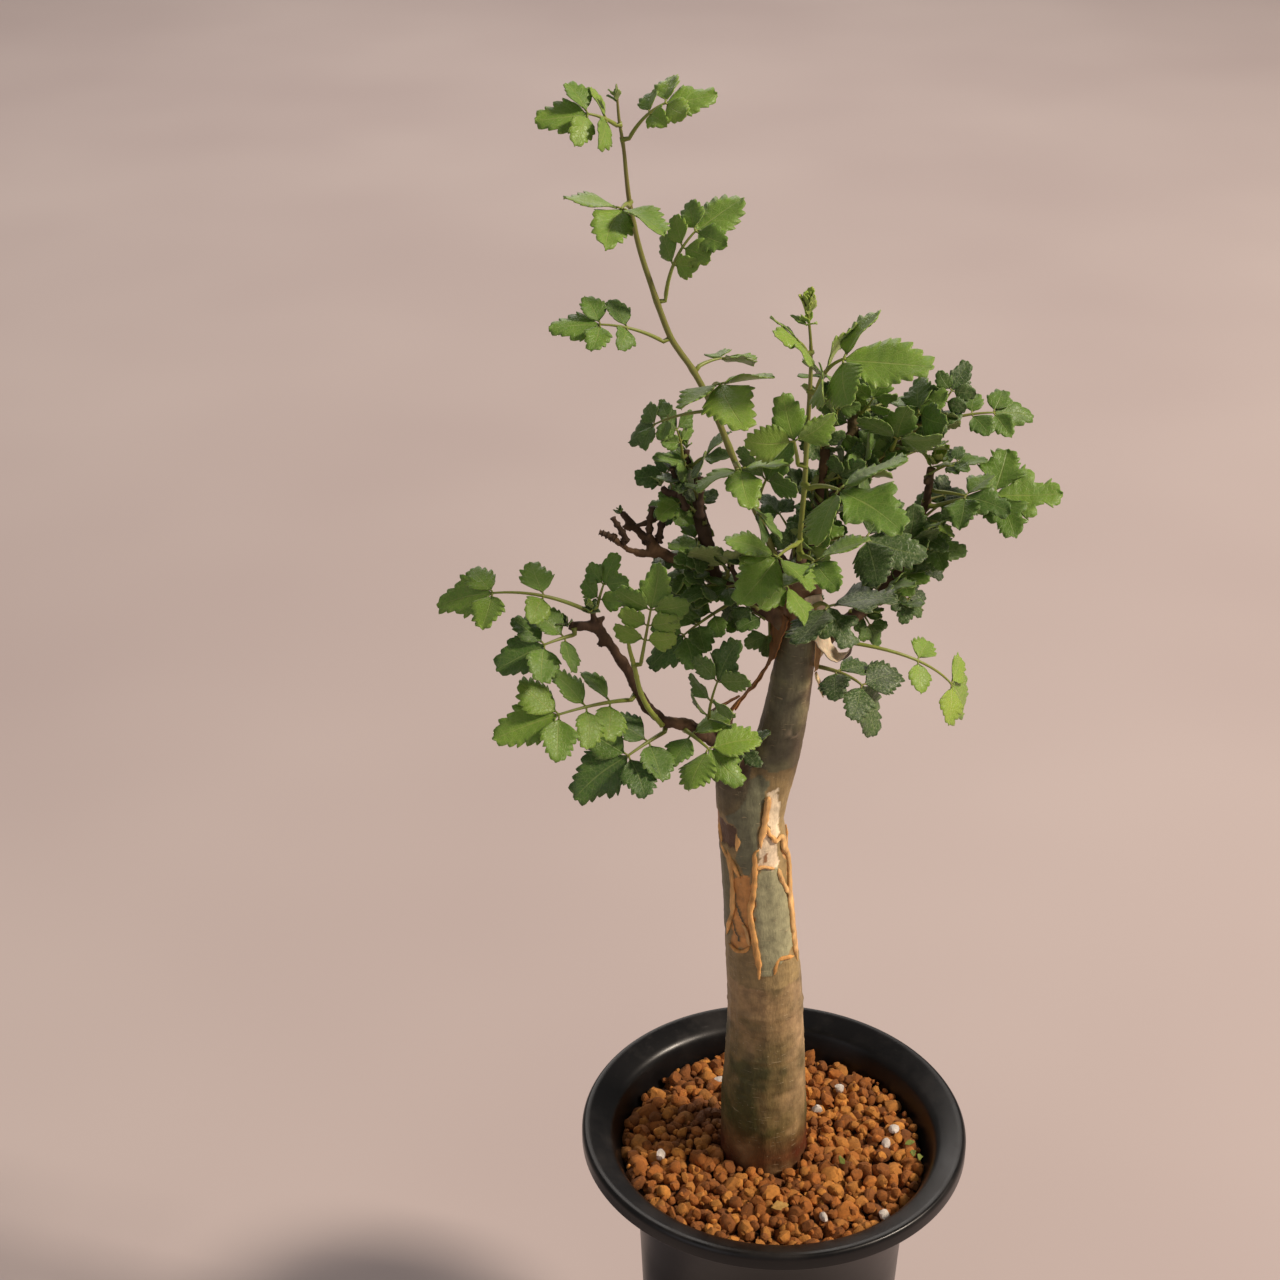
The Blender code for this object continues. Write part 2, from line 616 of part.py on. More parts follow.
def room(rows, others, height):
    """Free distance between two limbs at one height."""
    spots = []
    for limb in (rows, others):
        limb = np.array(limb)
        spots.append([np.interp(height, limb[:, 2], limb[:, column]) for column in (0, 1, 3)])
    (x, y, radius), (other_x, other_y, other_radius) = spots
    return math.hypot(other_x - x, other_y - y) - radius - other_radius


def make_bark(name, bearer, beside, track, finish):
    """A ribbon that follows a limb's surface and lifts off it, with a Solidify for its thickness."""
    rows = smooth_path(limb_rows(bearer), 4)
    shape = bmesh.new()
    sections = []
    for angle, height, stand_off, half_width in smooth_path(track, 3):
        x, y, radius = place_on(rows, height)
        if beside:
            grown = room(limb_rows(bearer), limb_rows(beside), tree_point(0, 0, height)[2])
            stand_off *= grown / (room(plan_rows(bearer), plan_rows(beside), height) * growth)
        turn = math.radians(angle)
        outward = np.array([math.sin(turn), -math.cos(turn), 0.0])
        sideways = np.array([math.cos(turn), math.sin(turn), 0.0])
        clear = radius + (stand_off + half_width**2 / (2 * radius)) * growth + GAP + BARK_THICKNESS
        centre = np.array([x, y, tree_point(0, 0, height)[2]]) + outward * clear
        half = half_width * growth
        ends = (centre - sideways * half, centre, centre + sideways * half)
        sections.append([shape.verts.new(spot) for spot in ends])
    for lower, upper in zip(sections, sections[1:]):
        for side in (0, 1):
            shape.faces.new((lower[side], lower[side + 1], upper[side + 1], upper[side]))
    strip = object_from(name, shape, finish)
    thicken(strip, BARK_THICKNESS)


def thicken(thing, thickness):
    modifier = thing.modifiers.new("thickness", "SOLIDIFY")
    modifier.thickness = thickness * MM
    modifier.offset = 0.0


def stem_place(name, share):
    """Point, direction and radius at a share of a stem's length."""
    fine = smooth_path(limb_rows(name), 4)
    steps = np.linalg.norm(np.diff(fine[:, :3], axis=0), axis=1)
    along = np.concatenate([[0.0], np.cumsum(steps)]) / steps.sum()
    spot = np.array([np.interp(share, along, fine[:, column]) for column in range(4)])
    ahead = np.array([np.interp(share + 0.03, along, fine[:, column]) for column in range(3)])
    behind = np.array([np.interp(share - 0.03, along, fine[:, column]) for column in range(3)])
    direction = (ahead - behind) / np.linalg.norm(ahead - behind)
    return spot[:3], direction, spot[3]


def leaf_outline(length, pairs, leaflet, bare):
    """Stations along a leaf as (share of its length, half-width, forward lean), from foot to tip.

    The pairs of leaflets stand at even nodes from the end of the bare stalk to the foot of the end
    leaflet. Each pair is a bulge between two narrow places, and the end leaflet is the last bulge."""
    stalk = STALK_WIDTH / 2
    end_share = min(0.6, END_LEAFLET * leaflet / length)
    last_node = 1.0 - end_share
    pitch = (last_node - bare) / max(pairs - 1, 1)
    unit = min(leaflet / length, pitch / 0.7) if pairs > 1 else leaflet / length
    stations = [(0.0, stalk, 0.0)]
    for index in range(pairs):
        node = last_node - pitch * (pairs - 1 - index)
        stations.append((max(node - 0.32 * unit, 0.12), stalk, 0.0))
        stations.append((node - 0.08 * unit, 0.75 * leaflet, 0.12 * leaflet))
        stations.append((node + 0.16 * unit, 0.88 * leaflet, 0.30 * leaflet))
        stations.append((node + 0.34 * unit, stalk, 0.0))
    stations.append((last_node + 0.45 * end_share, 0.42 * leaflet, 0.0))
    stations.append((last_node + 0.70 * end_share, 0.36 * leaflet, 0.0))
    stations.append((1.0, 0.8 * stalk, 0.0))
    return stations


def make_leaf(name, stem, share, reach, arch, facing, pairs, leaflet, bare, finish):
    """One compound leaf: a folded strip along an arched midline, with a Solidify for its thickness."""
    spot, direction, radius = stem_place(stem, share)
    reach = np.array(reach, float) * growth
    aside = reach - direction * (reach @ direction)
    aside /= np.linalg.norm(aside)
    foot = spot + aside * (radius + GAP + LEAF_THICKNESS)
    span = spot + reach - foot
    length = np.linalg.norm(span)
    ahead = span / length
    up = np.array(facing, float)
    up -= ahead * (up @ ahead)
    up /= np.linalg.norm(up)
    side = np.cross(ahead, up)
    shape = bmesh.new()
    sections = []
    for along, half, lean in leaf_outline(length, pairs, leaflet * growth, bare):
        middle = foot + span * along + up * (4 * arch * growth * along * (1 - along))
        edge = ahead * lean + up * (LEAF_DISH * half)
        ends = (middle - side * half + edge, middle, middle + side * half + edge)
        sections.append([shape.verts.new(spot) for spot in ends])
    for lower, upper in zip(sections, sections[1:]):
        for column in (0, 1):
            shape.faces.new((lower[column], lower[column + 1], upper[column + 1], upper[column]))
    leaf = object_from(name, shape, finish)
    thicken(leaf, LEAF_THICKNESS)


def main():
    clear_scene()
    black_plastic = material("moulded_plastic", (0.16, 0.15, 0.15), 0.5)
    fired_clay = material("clay_granules", (0.72, 0.44, 0.20), 0.95)
    old_wood = material("smooth_bark", (0.47, 0.42, 0.31), 0.7)
    loose_bark = material("papery_bark", (0.80, 0.58, 0.34), 0.8)
    green_stem = material("green_stem", (0.45, 0.52, 0.24), 0.5)
    leaf_green = material("leaf_blade", (0.30, 0.45, 0.16), 0.45)
    make_pot(black_plastic)
    make_soil(fired_clay)
    make_wood(old_wood)
    make_shoots(green_stem)
    for name, (bearer, beside, track) in BARK.items():
        make_bark(name, bearer, beside, track, loose_bark)
    for row in LEAVES:
        make_leaf(*row, leaf_green)


main()
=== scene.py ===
import math

import bmesh
import bpy
import numpy as np
from mathutils import Matrix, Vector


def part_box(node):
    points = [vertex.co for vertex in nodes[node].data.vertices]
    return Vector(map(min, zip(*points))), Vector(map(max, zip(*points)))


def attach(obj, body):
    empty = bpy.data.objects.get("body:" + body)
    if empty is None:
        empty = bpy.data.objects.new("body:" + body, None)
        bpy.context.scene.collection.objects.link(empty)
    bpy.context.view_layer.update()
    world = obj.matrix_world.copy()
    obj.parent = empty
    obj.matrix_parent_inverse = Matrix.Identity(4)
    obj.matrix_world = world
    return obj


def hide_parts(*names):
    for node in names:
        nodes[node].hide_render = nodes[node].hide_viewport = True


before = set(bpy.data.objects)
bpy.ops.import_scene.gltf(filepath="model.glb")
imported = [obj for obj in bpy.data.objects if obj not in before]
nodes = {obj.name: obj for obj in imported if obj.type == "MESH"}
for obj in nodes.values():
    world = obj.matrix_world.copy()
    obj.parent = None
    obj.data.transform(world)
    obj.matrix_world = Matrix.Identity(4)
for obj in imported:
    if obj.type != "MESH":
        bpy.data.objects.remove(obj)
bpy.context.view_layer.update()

# Shapes below are worked out in millimetres and become metres in makePiece.
mm = 0.001
tau = 2 * math.pi
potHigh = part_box("pot")[1]
potTop = potHigh.z / mm
lipRadius = potHigh.x / mm
fillDrop = 8.0  # from the lip's crest down to the soil's surface
soilLevel = potTop - fillDrop


def report(text):
    print("tree:", text)


# Numbers and curves


def unit(vectors):
    # Each vector divided by its own length.
    return vectors / np.maximum(np.linalg.norm(vectors, axis=-1, keepdims=True), 1e-9)


def ramp(value, low, high):
    # Smooth step: 0 below low, 1 above high, 3t squared less 2t cubed between.
    t = np.clip((value - low) / (high - low), 0.0, 1.0)
    return t * t * (3.0 - 2.0 * t)


def smoothPath(points, count):
    # Catmull-Rom curve through the points, read at count even steps of its parameter.
    points = np.asarray(points, float)
    padded = np.vstack([2 * points[0] - points[1], points, 2 * points[-1] - points[-2]])
    place = np.linspace(0.0, len(points) - 1.0, count)
    index = np.minimum(place.astype(int), len(points) - 2)
    t = (place - index)[:, None]
    a, b, c, d = (padded[index + k] for k in range(4))
    return 0.5 * (2 * b + (c - a) * t + (2 * a - 5 * b + 4 * c - d) * t**2 + (3 * b - a - 3 * c + d) * t**3)


def lattice(cells, seed):
    # A fixed random value from -1 to 1 for each whole-number cell, mixed from its three indices.
    mixed = cells[..., 0] * 374761393 + cells[..., 1] * 668265263 + cells[..., 2] * 2147483647 + seed * 974711
    mixed = (mixed ^ (mixed >> 13)) * 1274126177
    return ((mixed ^ (mixed >> 16)) & 0xFFFF) / 32767.5 - 1.0


def noise(points, size, seed=0):
    # Value noise: the eight corner values of each cell of the given size, blended by smooth steps.
    place = np.asarray(points, float) / size
    cell = np.floor(place).astype(np.int64)
    t = place - cell
    t = t * t * (3.0 - 2.0 * t)
    total = 0.0
    for corner in np.ndindex(2, 2, 2):
        corner = np.array(corner)
        weight = np.prod(np.where(corner == 1, t, 1.0 - t), axis=-1)
        total = total + weight * lattice(cell + corner, seed)
    return total


# Mesh parts: each is a dictionary of points, faces, uv, tint (four numbers a point) and material number


def gridFaces(rows, columns, closed=False):
    # Quads between neighbouring rows and columns; closed joins the last column to the first.
    row = np.arange(rows - 1)[:, None]
    column = np.arange(columns if closed else columns - 1)[None, :]
    after = (column + 1) % columns
    here, above = row * columns, (row + 1) * columns
    return np.stack((here + column, here + after, above + after, above + column), axis=-1).reshape(-1, 4)


def part(points, faces, uv=None, tint=(0, 0, 0, 0), material=0):
    # One tint for all the points or one each, and no uv means all at 0.
    points = np.asarray(points, float).reshape(-1, 3)
    uv = np.zeros((len(points), 2)) if uv is None else np.asarray(uv, float).reshape(-1, 2)
    tint = np.broadcast_to(np.asarray(tint, float), (len(points), 4))
    return {"points": points, "faces": faces, "uv": uv, "tint": tint, "material": material}


def ringFaces(rings, sides):
    # Quads between closed rings, and fans from the two end points that follow the rings' points.
    count = rings * sides
    here = np.arange(sides)
    after = (here + 1) % sides
    first = np.stack([np.full(sides, count), after, here], axis=1)
    last = np.stack([np.full(sides, count + 1), count - sides + here, count - sides + after], axis=1)
    return [gridFaces(rings, sides, True), first, last]


def tube(path, across, high, sides, guide, tint=(0, 0, 0, 0), material=0):
    # A closed tube: round each station an ellipse of half-width across and half-height high, whose
    # wide axis is the tangent crossed with the guide direction. Each end closes on its own centre.
    path = np.asarray(path, float)
    tangent = unit(np.gradient(path, axis=0))
    wide = unit(np.cross(tangent, np.broadcast_to(guide, path.shape)))
    tall = np.cross(tangent, wide)
    across = np.broadcast_to(across, len(path))[:, None, None]
    high = np.broadcast_to(high, len(path))[:, None, None]
    angle = np.arange(sides)[None, :, None] * tau / sides
    rings = path[:, None] + across * np.cos(angle) * wide[:, None] + high * np.sin(angle) * tall[:, None]
    points = np.vstack([rings.reshape(-1, 3), path[:1], path[-1:]])
    along = np.concatenate([np.repeat(np.linspace(0, 1, len(path)), sides), [0, 1]])
    around = np.concatenate([np.tile(np.arange(sides) / sides, len(path)), [0, 0]])
    uv = np.stack([along, around], axis=1)
    return part(points, ringFaces(len(path), sides), uv, tint, material)


def sheet(top, thickness, up, uv=None, tint=(0, 0, 0, 0), under=(0, 0, 0, 0)):
    # A closed thin plate: the grid of points, the same grid let down by thickness along up, and a rim
    # of quads round its four sides. Under is added to the lower side's tint.
    rows, columns = top.shape[:2]
    size = rows * columns
    lower = top - np.asarray(up) * thickness
    face = gridFaces(rows, columns)
    grid = np.arange(size).reshape(rows, columns)
    rim = np.concatenate([grid[:-1, 0], grid[-1, :-1], grid[:0:-1, -1], grid[0, :0:-1]])
    after = np.roll(rim, -1)
    sides = np.stack([rim, rim + size, after + size, after], axis=1)
    tint = np.broadcast_to(np.asarray(tint, float), (size, 4))
    uv = np.zeros((size, 2)) if uv is None else uv.reshape(-1, 2)
    points = np.vstack([top.reshape(-1, 3), lower.reshape(-1, 3)])
    faces = [face[:, ::-1], face + size, sides]
    return part(points, faces, np.vstack([uv, uv]), np.vstack([tint, tint + under]))


def makePiece(name, parts, materials, replaces=(), sharp=None):
    # One mesh of all the parts, given to the frame's one body.
    offset, loops, sizes, numbers = 0, [], [], []
    for each in parts:
        for face in each["faces"]:
            loops.append((face + offset).ravel())
            sizes.append(np.full(len(face), face.shape[1]))
            numbers.append(np.full(len(face), each["material"]))
        offset += len(each["points"])
    loops, sizes, numbers = np.concatenate(loops), np.concatenate(sizes), np.concatenate(numbers)
    points = np.vstack([each["points"] for each in parts]) * mm
    mesh = bpy.data.meshes.new(name)
    mesh.vertices.add(len(points))
    mesh.vertices.foreach_set("co", points.ravel())
    mesh.loops.add(len(loops))
    mesh.loops.foreach_set("vertex_index", loops.astype(np.int32))
    mesh.polygons.add(len(sizes))
    mesh.polygons.foreach_set("loop_start", np.concatenate([[0], np.cumsum(sizes)[:-1]]).astype(np.int32))
    mesh.polygons.foreach_set("material_index", numbers.astype(np.int32))
    mesh.update(calc_edges=True)
    uv = np.vstack([each["uv"] for each in parts])
    mesh.uv_layers.new(name="UVMap").data.foreach_set("uv", uv[loops].ravel())
    tint = np.vstack([each["tint"] for each in parts])
    mesh.attributes.new("tint", "FLOAT_COLOR", "POINT").data.foreach_set("color", tint.ravel())
    mesh.shade_smooth()
    if sharp:
        mesh.set_sharp_from_angle(angle=math.radians(sharp))
    for material in materials:
        mesh.materials.append(material)
    piece = bpy.data.objects.new(name, mesh)
    bpy.context.scene.collection.objects.link(piece)
    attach(piece, "root")
    if replaces:
        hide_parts(*replaces)
    return piece


# Materials


def linear(code, alpha=1.0):
    # sRGB hex to linear light.
    channels = [int(code[k : k + 2], 16) / 255 for k in (1, 3, 5)]
    return [c / 12.92 if c <= 0.04045 else ((c + 0.055) / 1.055) ** 2.4 for c in channels] + [alpha]


def addNode(tree, kind, inputs=None, stops=None, **settings):
    # Adds a node. Inputs are values, hex colours or other nodes' outputs, and stops fill a colour ramp.
    made = tree.nodes.new(kind)
    for key, value in settings.items():
        setattr(made, key, value)
    for key, value in (inputs or {}).items():
        if isinstance(value, bpy.types.NodeSocket):
            tree.links.new(value, made.inputs[key])
        elif isinstance(value, str):
            made.inputs[key].default_value = linear(value)
        else:
            made.inputs[key].default_value = value
    if stops:
        elements = made.color_ramp.elements
        while len(elements) < len(stops):
            elements.new(0.5)
        for element, (position, colour) in zip(elements, stops):
            element.position = position
            element.color = linear(colour)
    return made


def startMaterial(name, **values):
    # A material with a Principled BSDF and its plain values.
    made = bpy.data.materials.new(name)
    made.use_nodes = True
    shader = made.node_tree.nodes["Principled BSDF"]
    for key, value in values.items():
        shader.inputs[key.replace("_", " ")].default_value = value
    return made, made.node_tree, shader


def objectPlace(tree, scale=(1, 1, 1)):
    # Object coordinates in millimetres, stretched by scale.
    place = addNode(tree, "ShaderNodeTexCoord").outputs["Object"]
    factor = [1000.0 * s for s in scale]
    return addNode(tree, "ShaderNodeMapping", {"Vector": place, "Scale": factor}).outputs["Vector"]


def readTint(tree):
    # The tint attribute: its colour, the colour's three channels and its alpha.
    tint = addNode(tree, "ShaderNodeAttribute", attribute_name="tint").outputs
    channels = addNode(tree, "ShaderNodeSeparateColor", {"Color": tint["Color"]}).outputs
    return tint["Color"], channels, tint["Alpha"]


def calc(tree, operation, *values, clamp=False):
    # One Math node's answer.
    inputs = dict(enumerate(values))
    return addNode(tree, "ShaderNodeMath", inputs, operation=operation, use_clamp=clamp).outputs[0]


def remap(tree, value, *limits):
    # Carries value from the span of the first two limits to the span of the last two.
    return addNode(tree, "ShaderNodeMapRange", dict(enumerate((value, *limits)))).outputs[0]


def cloud(tree, place, scale, detail, roughness=0.5):
    # Noise from 0 to 1, with scale lumps to a unit of place.
    inputs = {"Vector": place, "Scale": scale, "Detail": detail, "Roughness": roughness}
    return addNode(tree, "ShaderNodeTexNoise", inputs).outputs["Fac"]


def grade(tree, value, *stops):
    # The colour that a ramp through the stops has at value.
    return addNode(tree, "ShaderNodeValToRGB", {0: value}, stops=stops).outputs[0]


def mixColour(tree, share, first, second, blend="MIX"):
    # The first colour, with a share of the second mixed in.
    inputs = {0: share, 6: first, 7: second}
    return addNode(tree, "ShaderNodeMix", inputs, data_type="RGBA", blend_type=blend).outputs[2]


def shadeBy(tree, colour, shade):
    # The colour times a grey of the given shade.
    grey = addNode(tree, "ShaderNodeCombineColor", {0: shade, 1: shade, 2: shade}).outputs[0]
    return mixColour(tree, 1.0, colour, grey, "MULTIPLY")


def finishMaterial(tree, shader, colour, rough=None, relief=None, strength=0.0, depth=0.0):
    # Joins colour, roughness and a bump of the given depth in metres to the shader.
    tree.links.new(colour, shader.inputs["Base Color"])
    if rough:
        tree.links.new(rough, shader.inputs["Roughness"])
    if relief:
        bump = addNode(tree, "ShaderNodeBump", {"Height": relief, "Strength": strength, "Distance": depth})
        tree.links.new(bump.outputs[0], shader.inputs["Normal"])


def leafBlade():
    # Living leaf blade: a soft thin skin with paler sunken veins, a matt underside and, on old leaves, fine
    # hairs whose silvery sheen is painted pale into the colour. The tint attribute holds age, underside, a
    # random number and the count of side veins.
    material, tree, shader = startMaterial(
        "livingLeafBlade",
        Roughness=0.46,
        IOR=1.42,
        Subsurface_Weight=0.22,
        Subsurface_Radius=(0.6, 1.0, 0.25),
        Subsurface_Scale=0.0007,
        Sheen_Weight=0.12,
        Sheen_Roughness=0.5,
    )
    _, (age, under, lot), veinCount = readTint(tree)
    uv = addNode(tree, "ShaderNodeUVMap", uv_map="UVMap").outputs[0]
    split = addNode(tree, "ShaderNodeSeparateXYZ", {0: uv}).outputs
    away = calc(tree, "ABSOLUTE", calc(tree, "SUBTRACT", split[1], 0.5))
    # Side veins run forward from the midrib: place along the leaf less a share of the way across.
    swept = calc(tree, "MULTIPLY_ADD", away, -0.5, split[0])
    wave = calc(tree, "PINGPONG", calc(tree, "MULTIPLY", swept, veinCount), 0.5)
    sideVein = remap(tree, wave, 0.10, 0.0, 0.0, 0.28)
    midrib = remap(tree, away, 0.026, 0.008, 0.0, 0.65)
    place = objectPlace(tree)
    # Net veins about 0.9 mm apart.
    cells = {"Vector": place, "Scale": 1.1}
    net = addNode(tree, "ShaderNodeTexVoronoi", cells, feature="DISTANCE_TO_EDGE").outputs[0]
    veins = calc(tree, "MAXIMUM", sideVein, remap(tree, net, 0.09, 0.0, 0.0, 0.30))
    veins = calc(tree, "MAXIMUM", veins, midrib)
    mottle = cloud(tree, place, 0.22, 4.0)
    shift = calc(tree, "MULTIPLY_ADD", calc(tree, "ADD", lot, mottle), 0.22, -0.22)
    aged = calc(tree, "ADD", age, shift)
    young = [(0.0, "#9dad40"), (0.3, "#7d9a35"), (0.55, "#5f7f2c")]
    skin = grade(tree, aged, *young, (0.8, "#3d5a22"), (1.0, "#2d421e"))
    vein = grade(tree, aged, (0.0, "#adb560"), (0.6, "#8a9a52"), (1.0, "#66784a"))
    veined = mixColour(tree, veins, skin, vein)
    # Painted sheen: pale patches on old leaves stand for the silvery sheen of their fine hairs.
    paintedHairSheen = remap(tree, cloud(tree, place, 1.6, 5.0, 0.7), 0.50, 0.72, 0.0, 0.6)
    old = remap(tree, age, 0.62, 0.95, 0.0, 1.0)
    withHairSheen = mixColour(tree, calc(tree, "MULTIPLY", paintedHairSheen, old), veined, "#acb68e")
    coloured = mixColour(tree, calc(tree, "MULTIPLY", under, 0.55), withHairSheen, "#94a05e")
    rough = remap(tree, mottle, 0.3, 0.7, 0.38, 0.55)
    sunk = calc(tree, "MULTIPLY", veins, -1.0)
    finishMaterial(tree, shader, coloured, rough, sunk, 0.5, 0.00025)
    return material


def greenStem():
    # Young shoot and stalk skin: smooth, waxy, yellow-green, browning in patches as it ages. The tint
    # attribute holds age and how much it browns.
    material, tree, shader = startMaterial(
        "greenShootSkin", Roughness=0.42, IOR=1.42, Subsurface_Weight=0.1, Subsurface_Scale=0.0008
    )
    _, channels, _ = readTint(tree)
    streak = cloud(tree, objectPlace(tree, (1, 1, 0.25)), 0.5, 3.0)
    skin = grade(tree, channels[0], (0.0, "#9fab4c"), (0.5, "#7d8a3e"), (1.0, "#6f693e"))
    blush = calc(tree, "MULTIPLY", remap(tree, streak, 0.42, 0.68, 0.0, 0.6), channels[1])
    finishMaterial(tree, shader, mixColour(tree, blush, skin, "#6b4a32"))
    return material


def livingBark():
    # Smooth living bark: thin and satin, blotched olive over tan, with pale cross-wise pores. The tint
    # attribute is the bark's own colour, and its alpha is how rough and knobby the wood is there.
    material, tree, shader = startMaterial("smoothLivingBark", Roughness=0.6, IOR=1.45)
    own, _, knobby = readTint(tree)
    place = objectPlace(tree)
    shade = remap(tree, cloud(tree, place, 0.35, 6.0, 0.62), 0.3, 0.7, 0.62, 1.22)
    base = shadeBy(tree, own, shade)
    # Pores: dashes about 3 mm wide and 0.5 mm high.
    dash = cloud(tree, objectPlace(tree, (0.33, 0.33, 2.0)), 1.0, 2.0)
    pore = remap(tree, dash, 0.66, 0.74, 0.0, 0.45)
    pored = mixColour(tree, pore, base, "#b6a27c")
    cells = {"Vector": place, "Scale": 0.42, "Randomness": 1.0}
    speck = addNode(tree, "ShaderNodeTexVoronoi", cells).outputs["Distance"]
    dotted = mixColour(tree, remap(tree, speck, 0.10, 0.05, 0.0, 0.3), pored, "#c9bb98")
    coloured = mixColour(tree, knobby, dotted, base)
    rough = remap(tree, knobby, 0.0, 1.0, 0.52, 0.82)
    relief = calc(tree, "ADD", pore, cloud(tree, objectPlace(tree, (1, 1, 0.35)), 1.4, 6.0))
    finishMaterial(tree, shader, coloured, rough, relief, 0.55, 0.0004)
    return material


def paperyBark():
    # Dry outer bark torn into papery strips: matt, fibrous along its length, orange-tan with pale edges.
    material, tree, shader = startMaterial(
        "paperyTornBark", Roughness=0.78, IOR=1.45, Subsurface_Weight=0.08, Subsurface_Scale=0.0006
    )
    own, _, _ = readTint(tree)
    fibre = cloud(tree, objectPlace(tree, (1, 1, 0.2)), 1.1, 5.0)
    base = shadeBy(tree, own, remap(tree, fibre, 0.3, 0.7, 0.72, 1.15))
    finishMaterial(tree, shader, base, None, fibre, 0.6, 0.0003)
    return material


def mouldedPlastic():
    # Black polypropylene, injection moulded: satin, nearly neutral, with a dry bloom of dust and faint
    # turning scuffs on the flange, where hands and other pots have rubbed it.
    material, tree, shader = startMaterial(
        "mouldedBlackPolypropylene", Roughness=0.42, IOR=1.49, Specular_IOR_Level=0.32
    )
    place = objectPlace(tree)
    settled = remap(tree, cloud(tree, place, 0.07, 8.0, 0.65), 0.45, 0.75, 0.0, 1.0)
    normal = addNode(tree, "ShaderNodeNewGeometry").outputs["Normal"]
    facing = addNode(tree, "ShaderNodeSeparateXYZ", {0: normal}).outputs[2]
    film = calc(tree, "MULTIPLY", settled, remap(tree, facing, 0.2, 0.95, 0.12, 0.6))
    scratch = cloud(tree, objectPlace(tree, (0.5, 0.5, 3.0)), 0.9, 6.0)
    worn = calc(tree, "ADD", film, remap(tree, scratch, 0.64, 0.76, 0.0, 0.35), clamp=True)
    colour = mixColour(tree, worn, "#0a090a", "#2f2b29")
    rough = remap(tree, worn, 0.0, 0.8, 0.30, 0.55)
    finishMaterial(tree, shader, colour, rough, cloud(tree, place, 3.0, 2.0), 0.08, 0.0002)
    return material


def firedClay():
    # Fired clay granules: porous, dusty and matt, orange-brown, with painted shade where the trunk's
    # shadow falls and in the deeper layers. The tint attribute is the granule's own colour with that shade
    # painted in, and its alpha the shade mask, which also lowers the roughness as if damp.
    material, tree, shader = startMaterial("firedClayGranule", Roughness=0.92, IOR=1.5)
    own, _, shadeAndDamp = readTint(tree)
    place = objectPlace(tree)
    base = shadeBy(tree, own, remap(tree, cloud(tree, place, 0.9, 6.0, 0.7), 0.25, 0.75, 0.6, 1.3))
    rough = remap(tree, shadeAndDamp, 0.0, 1.0, 0.95, 0.6)
    finishMaterial(tree, shader, base, rough, cloud(tree, place, 2.6, 5.0, 0.7), 0.9, 0.0004)
    return material


leafSkin = leafBlade()
stemSkin = greenStem()
barkSkin = livingBark()
tornBark = paperyBark()
blackPlastic = mouldedPlastic()
clay = firedClay()
report("materials made")


# Pot

pot = {
    "mouth": 44.4,  # radius of the opening
    "dish": 2.9,  # how far the flange falls towards the opening
    "lipDepth": 4.4,
    "wall": 1.2,
    "funnelIn": 9.1,
    "funnelDepth": 40.0,
    "draft": 0.043,
    "floor": 4.0,
    "foot": 2.2,
    "footWidth": 3.5,
    "hub": 9.0,
    "slots": 8,
    "slotWidth": 3.0,
    "turns": 180,
    "rounding": 5,  # steps in each rounded corner
    "sharp": 40,  # degrees between faces that makes an edge
}


def innerRadius(z):
    # A funnel under the opening, then the body's draft, as the frame's pot has.
    depth = potTop - z
    share = np.clip((depth - pot["dish"]) / (pot["funnelDepth"] - pot["dish"]), 0.0, 1.0)
    below = np.maximum(depth - pot["funnelDepth"], 0.0)
    return pot["mouth"] - pot["funnelIn"] + pot["funnelIn"] * (1.0 - share) ** 1.7 - pot["draft"] * below


def roundedOutline(corners, steps):
    # Each corner (radius from the axis, height, rounding) is replaced by a quadratic curve between
    # points one rounding before and after it.
    corners = np.asarray(corners, float)
    spots = corners[:, :2]
    made = [spots[:1]]
    t = np.linspace(0.0, 1.0, steps)[:, None]
    for before, here, after, size in zip(spots, spots[1:], spots[2:], corners[1:, 2]):
        reach = min(size, 0.45 * np.linalg.norm(here - before), 0.45 * np.linalg.norm(after - here))
        if reach <= 0.0:
            made.append(here[None])
            continue
        start = here + unit(before - here) * reach
        end = here + unit(after - here) * reach
        made.append((1 - t) ** 2 * start + 2 * t * (1 - t) * here + t**2 * end)
    return np.vstack(made + [spots[-1:]])


def lathe(outline, turns, tint=(0, 0, 0, 0)):
    # The outline turned about Z, with a single point where it meets the axis at each end.
    angle = np.arange(turns) * tau / turns
    body = outline[1:-1]
    x = body[:, None, 0] * np.cos(angle)
    y = body[:, None, 0] * np.sin(angle)
    rings = np.stack([x, y, np.broadcast_to(body[:, None, 1], x.shape)], axis=-1)
    points = np.vstack([rings.reshape(-1, 3), [0, 0, outline[0, 1]], [0, 0, outline[-1, 1]]])
    return part(points, ringFaces(len(body), turns), tint=tint)


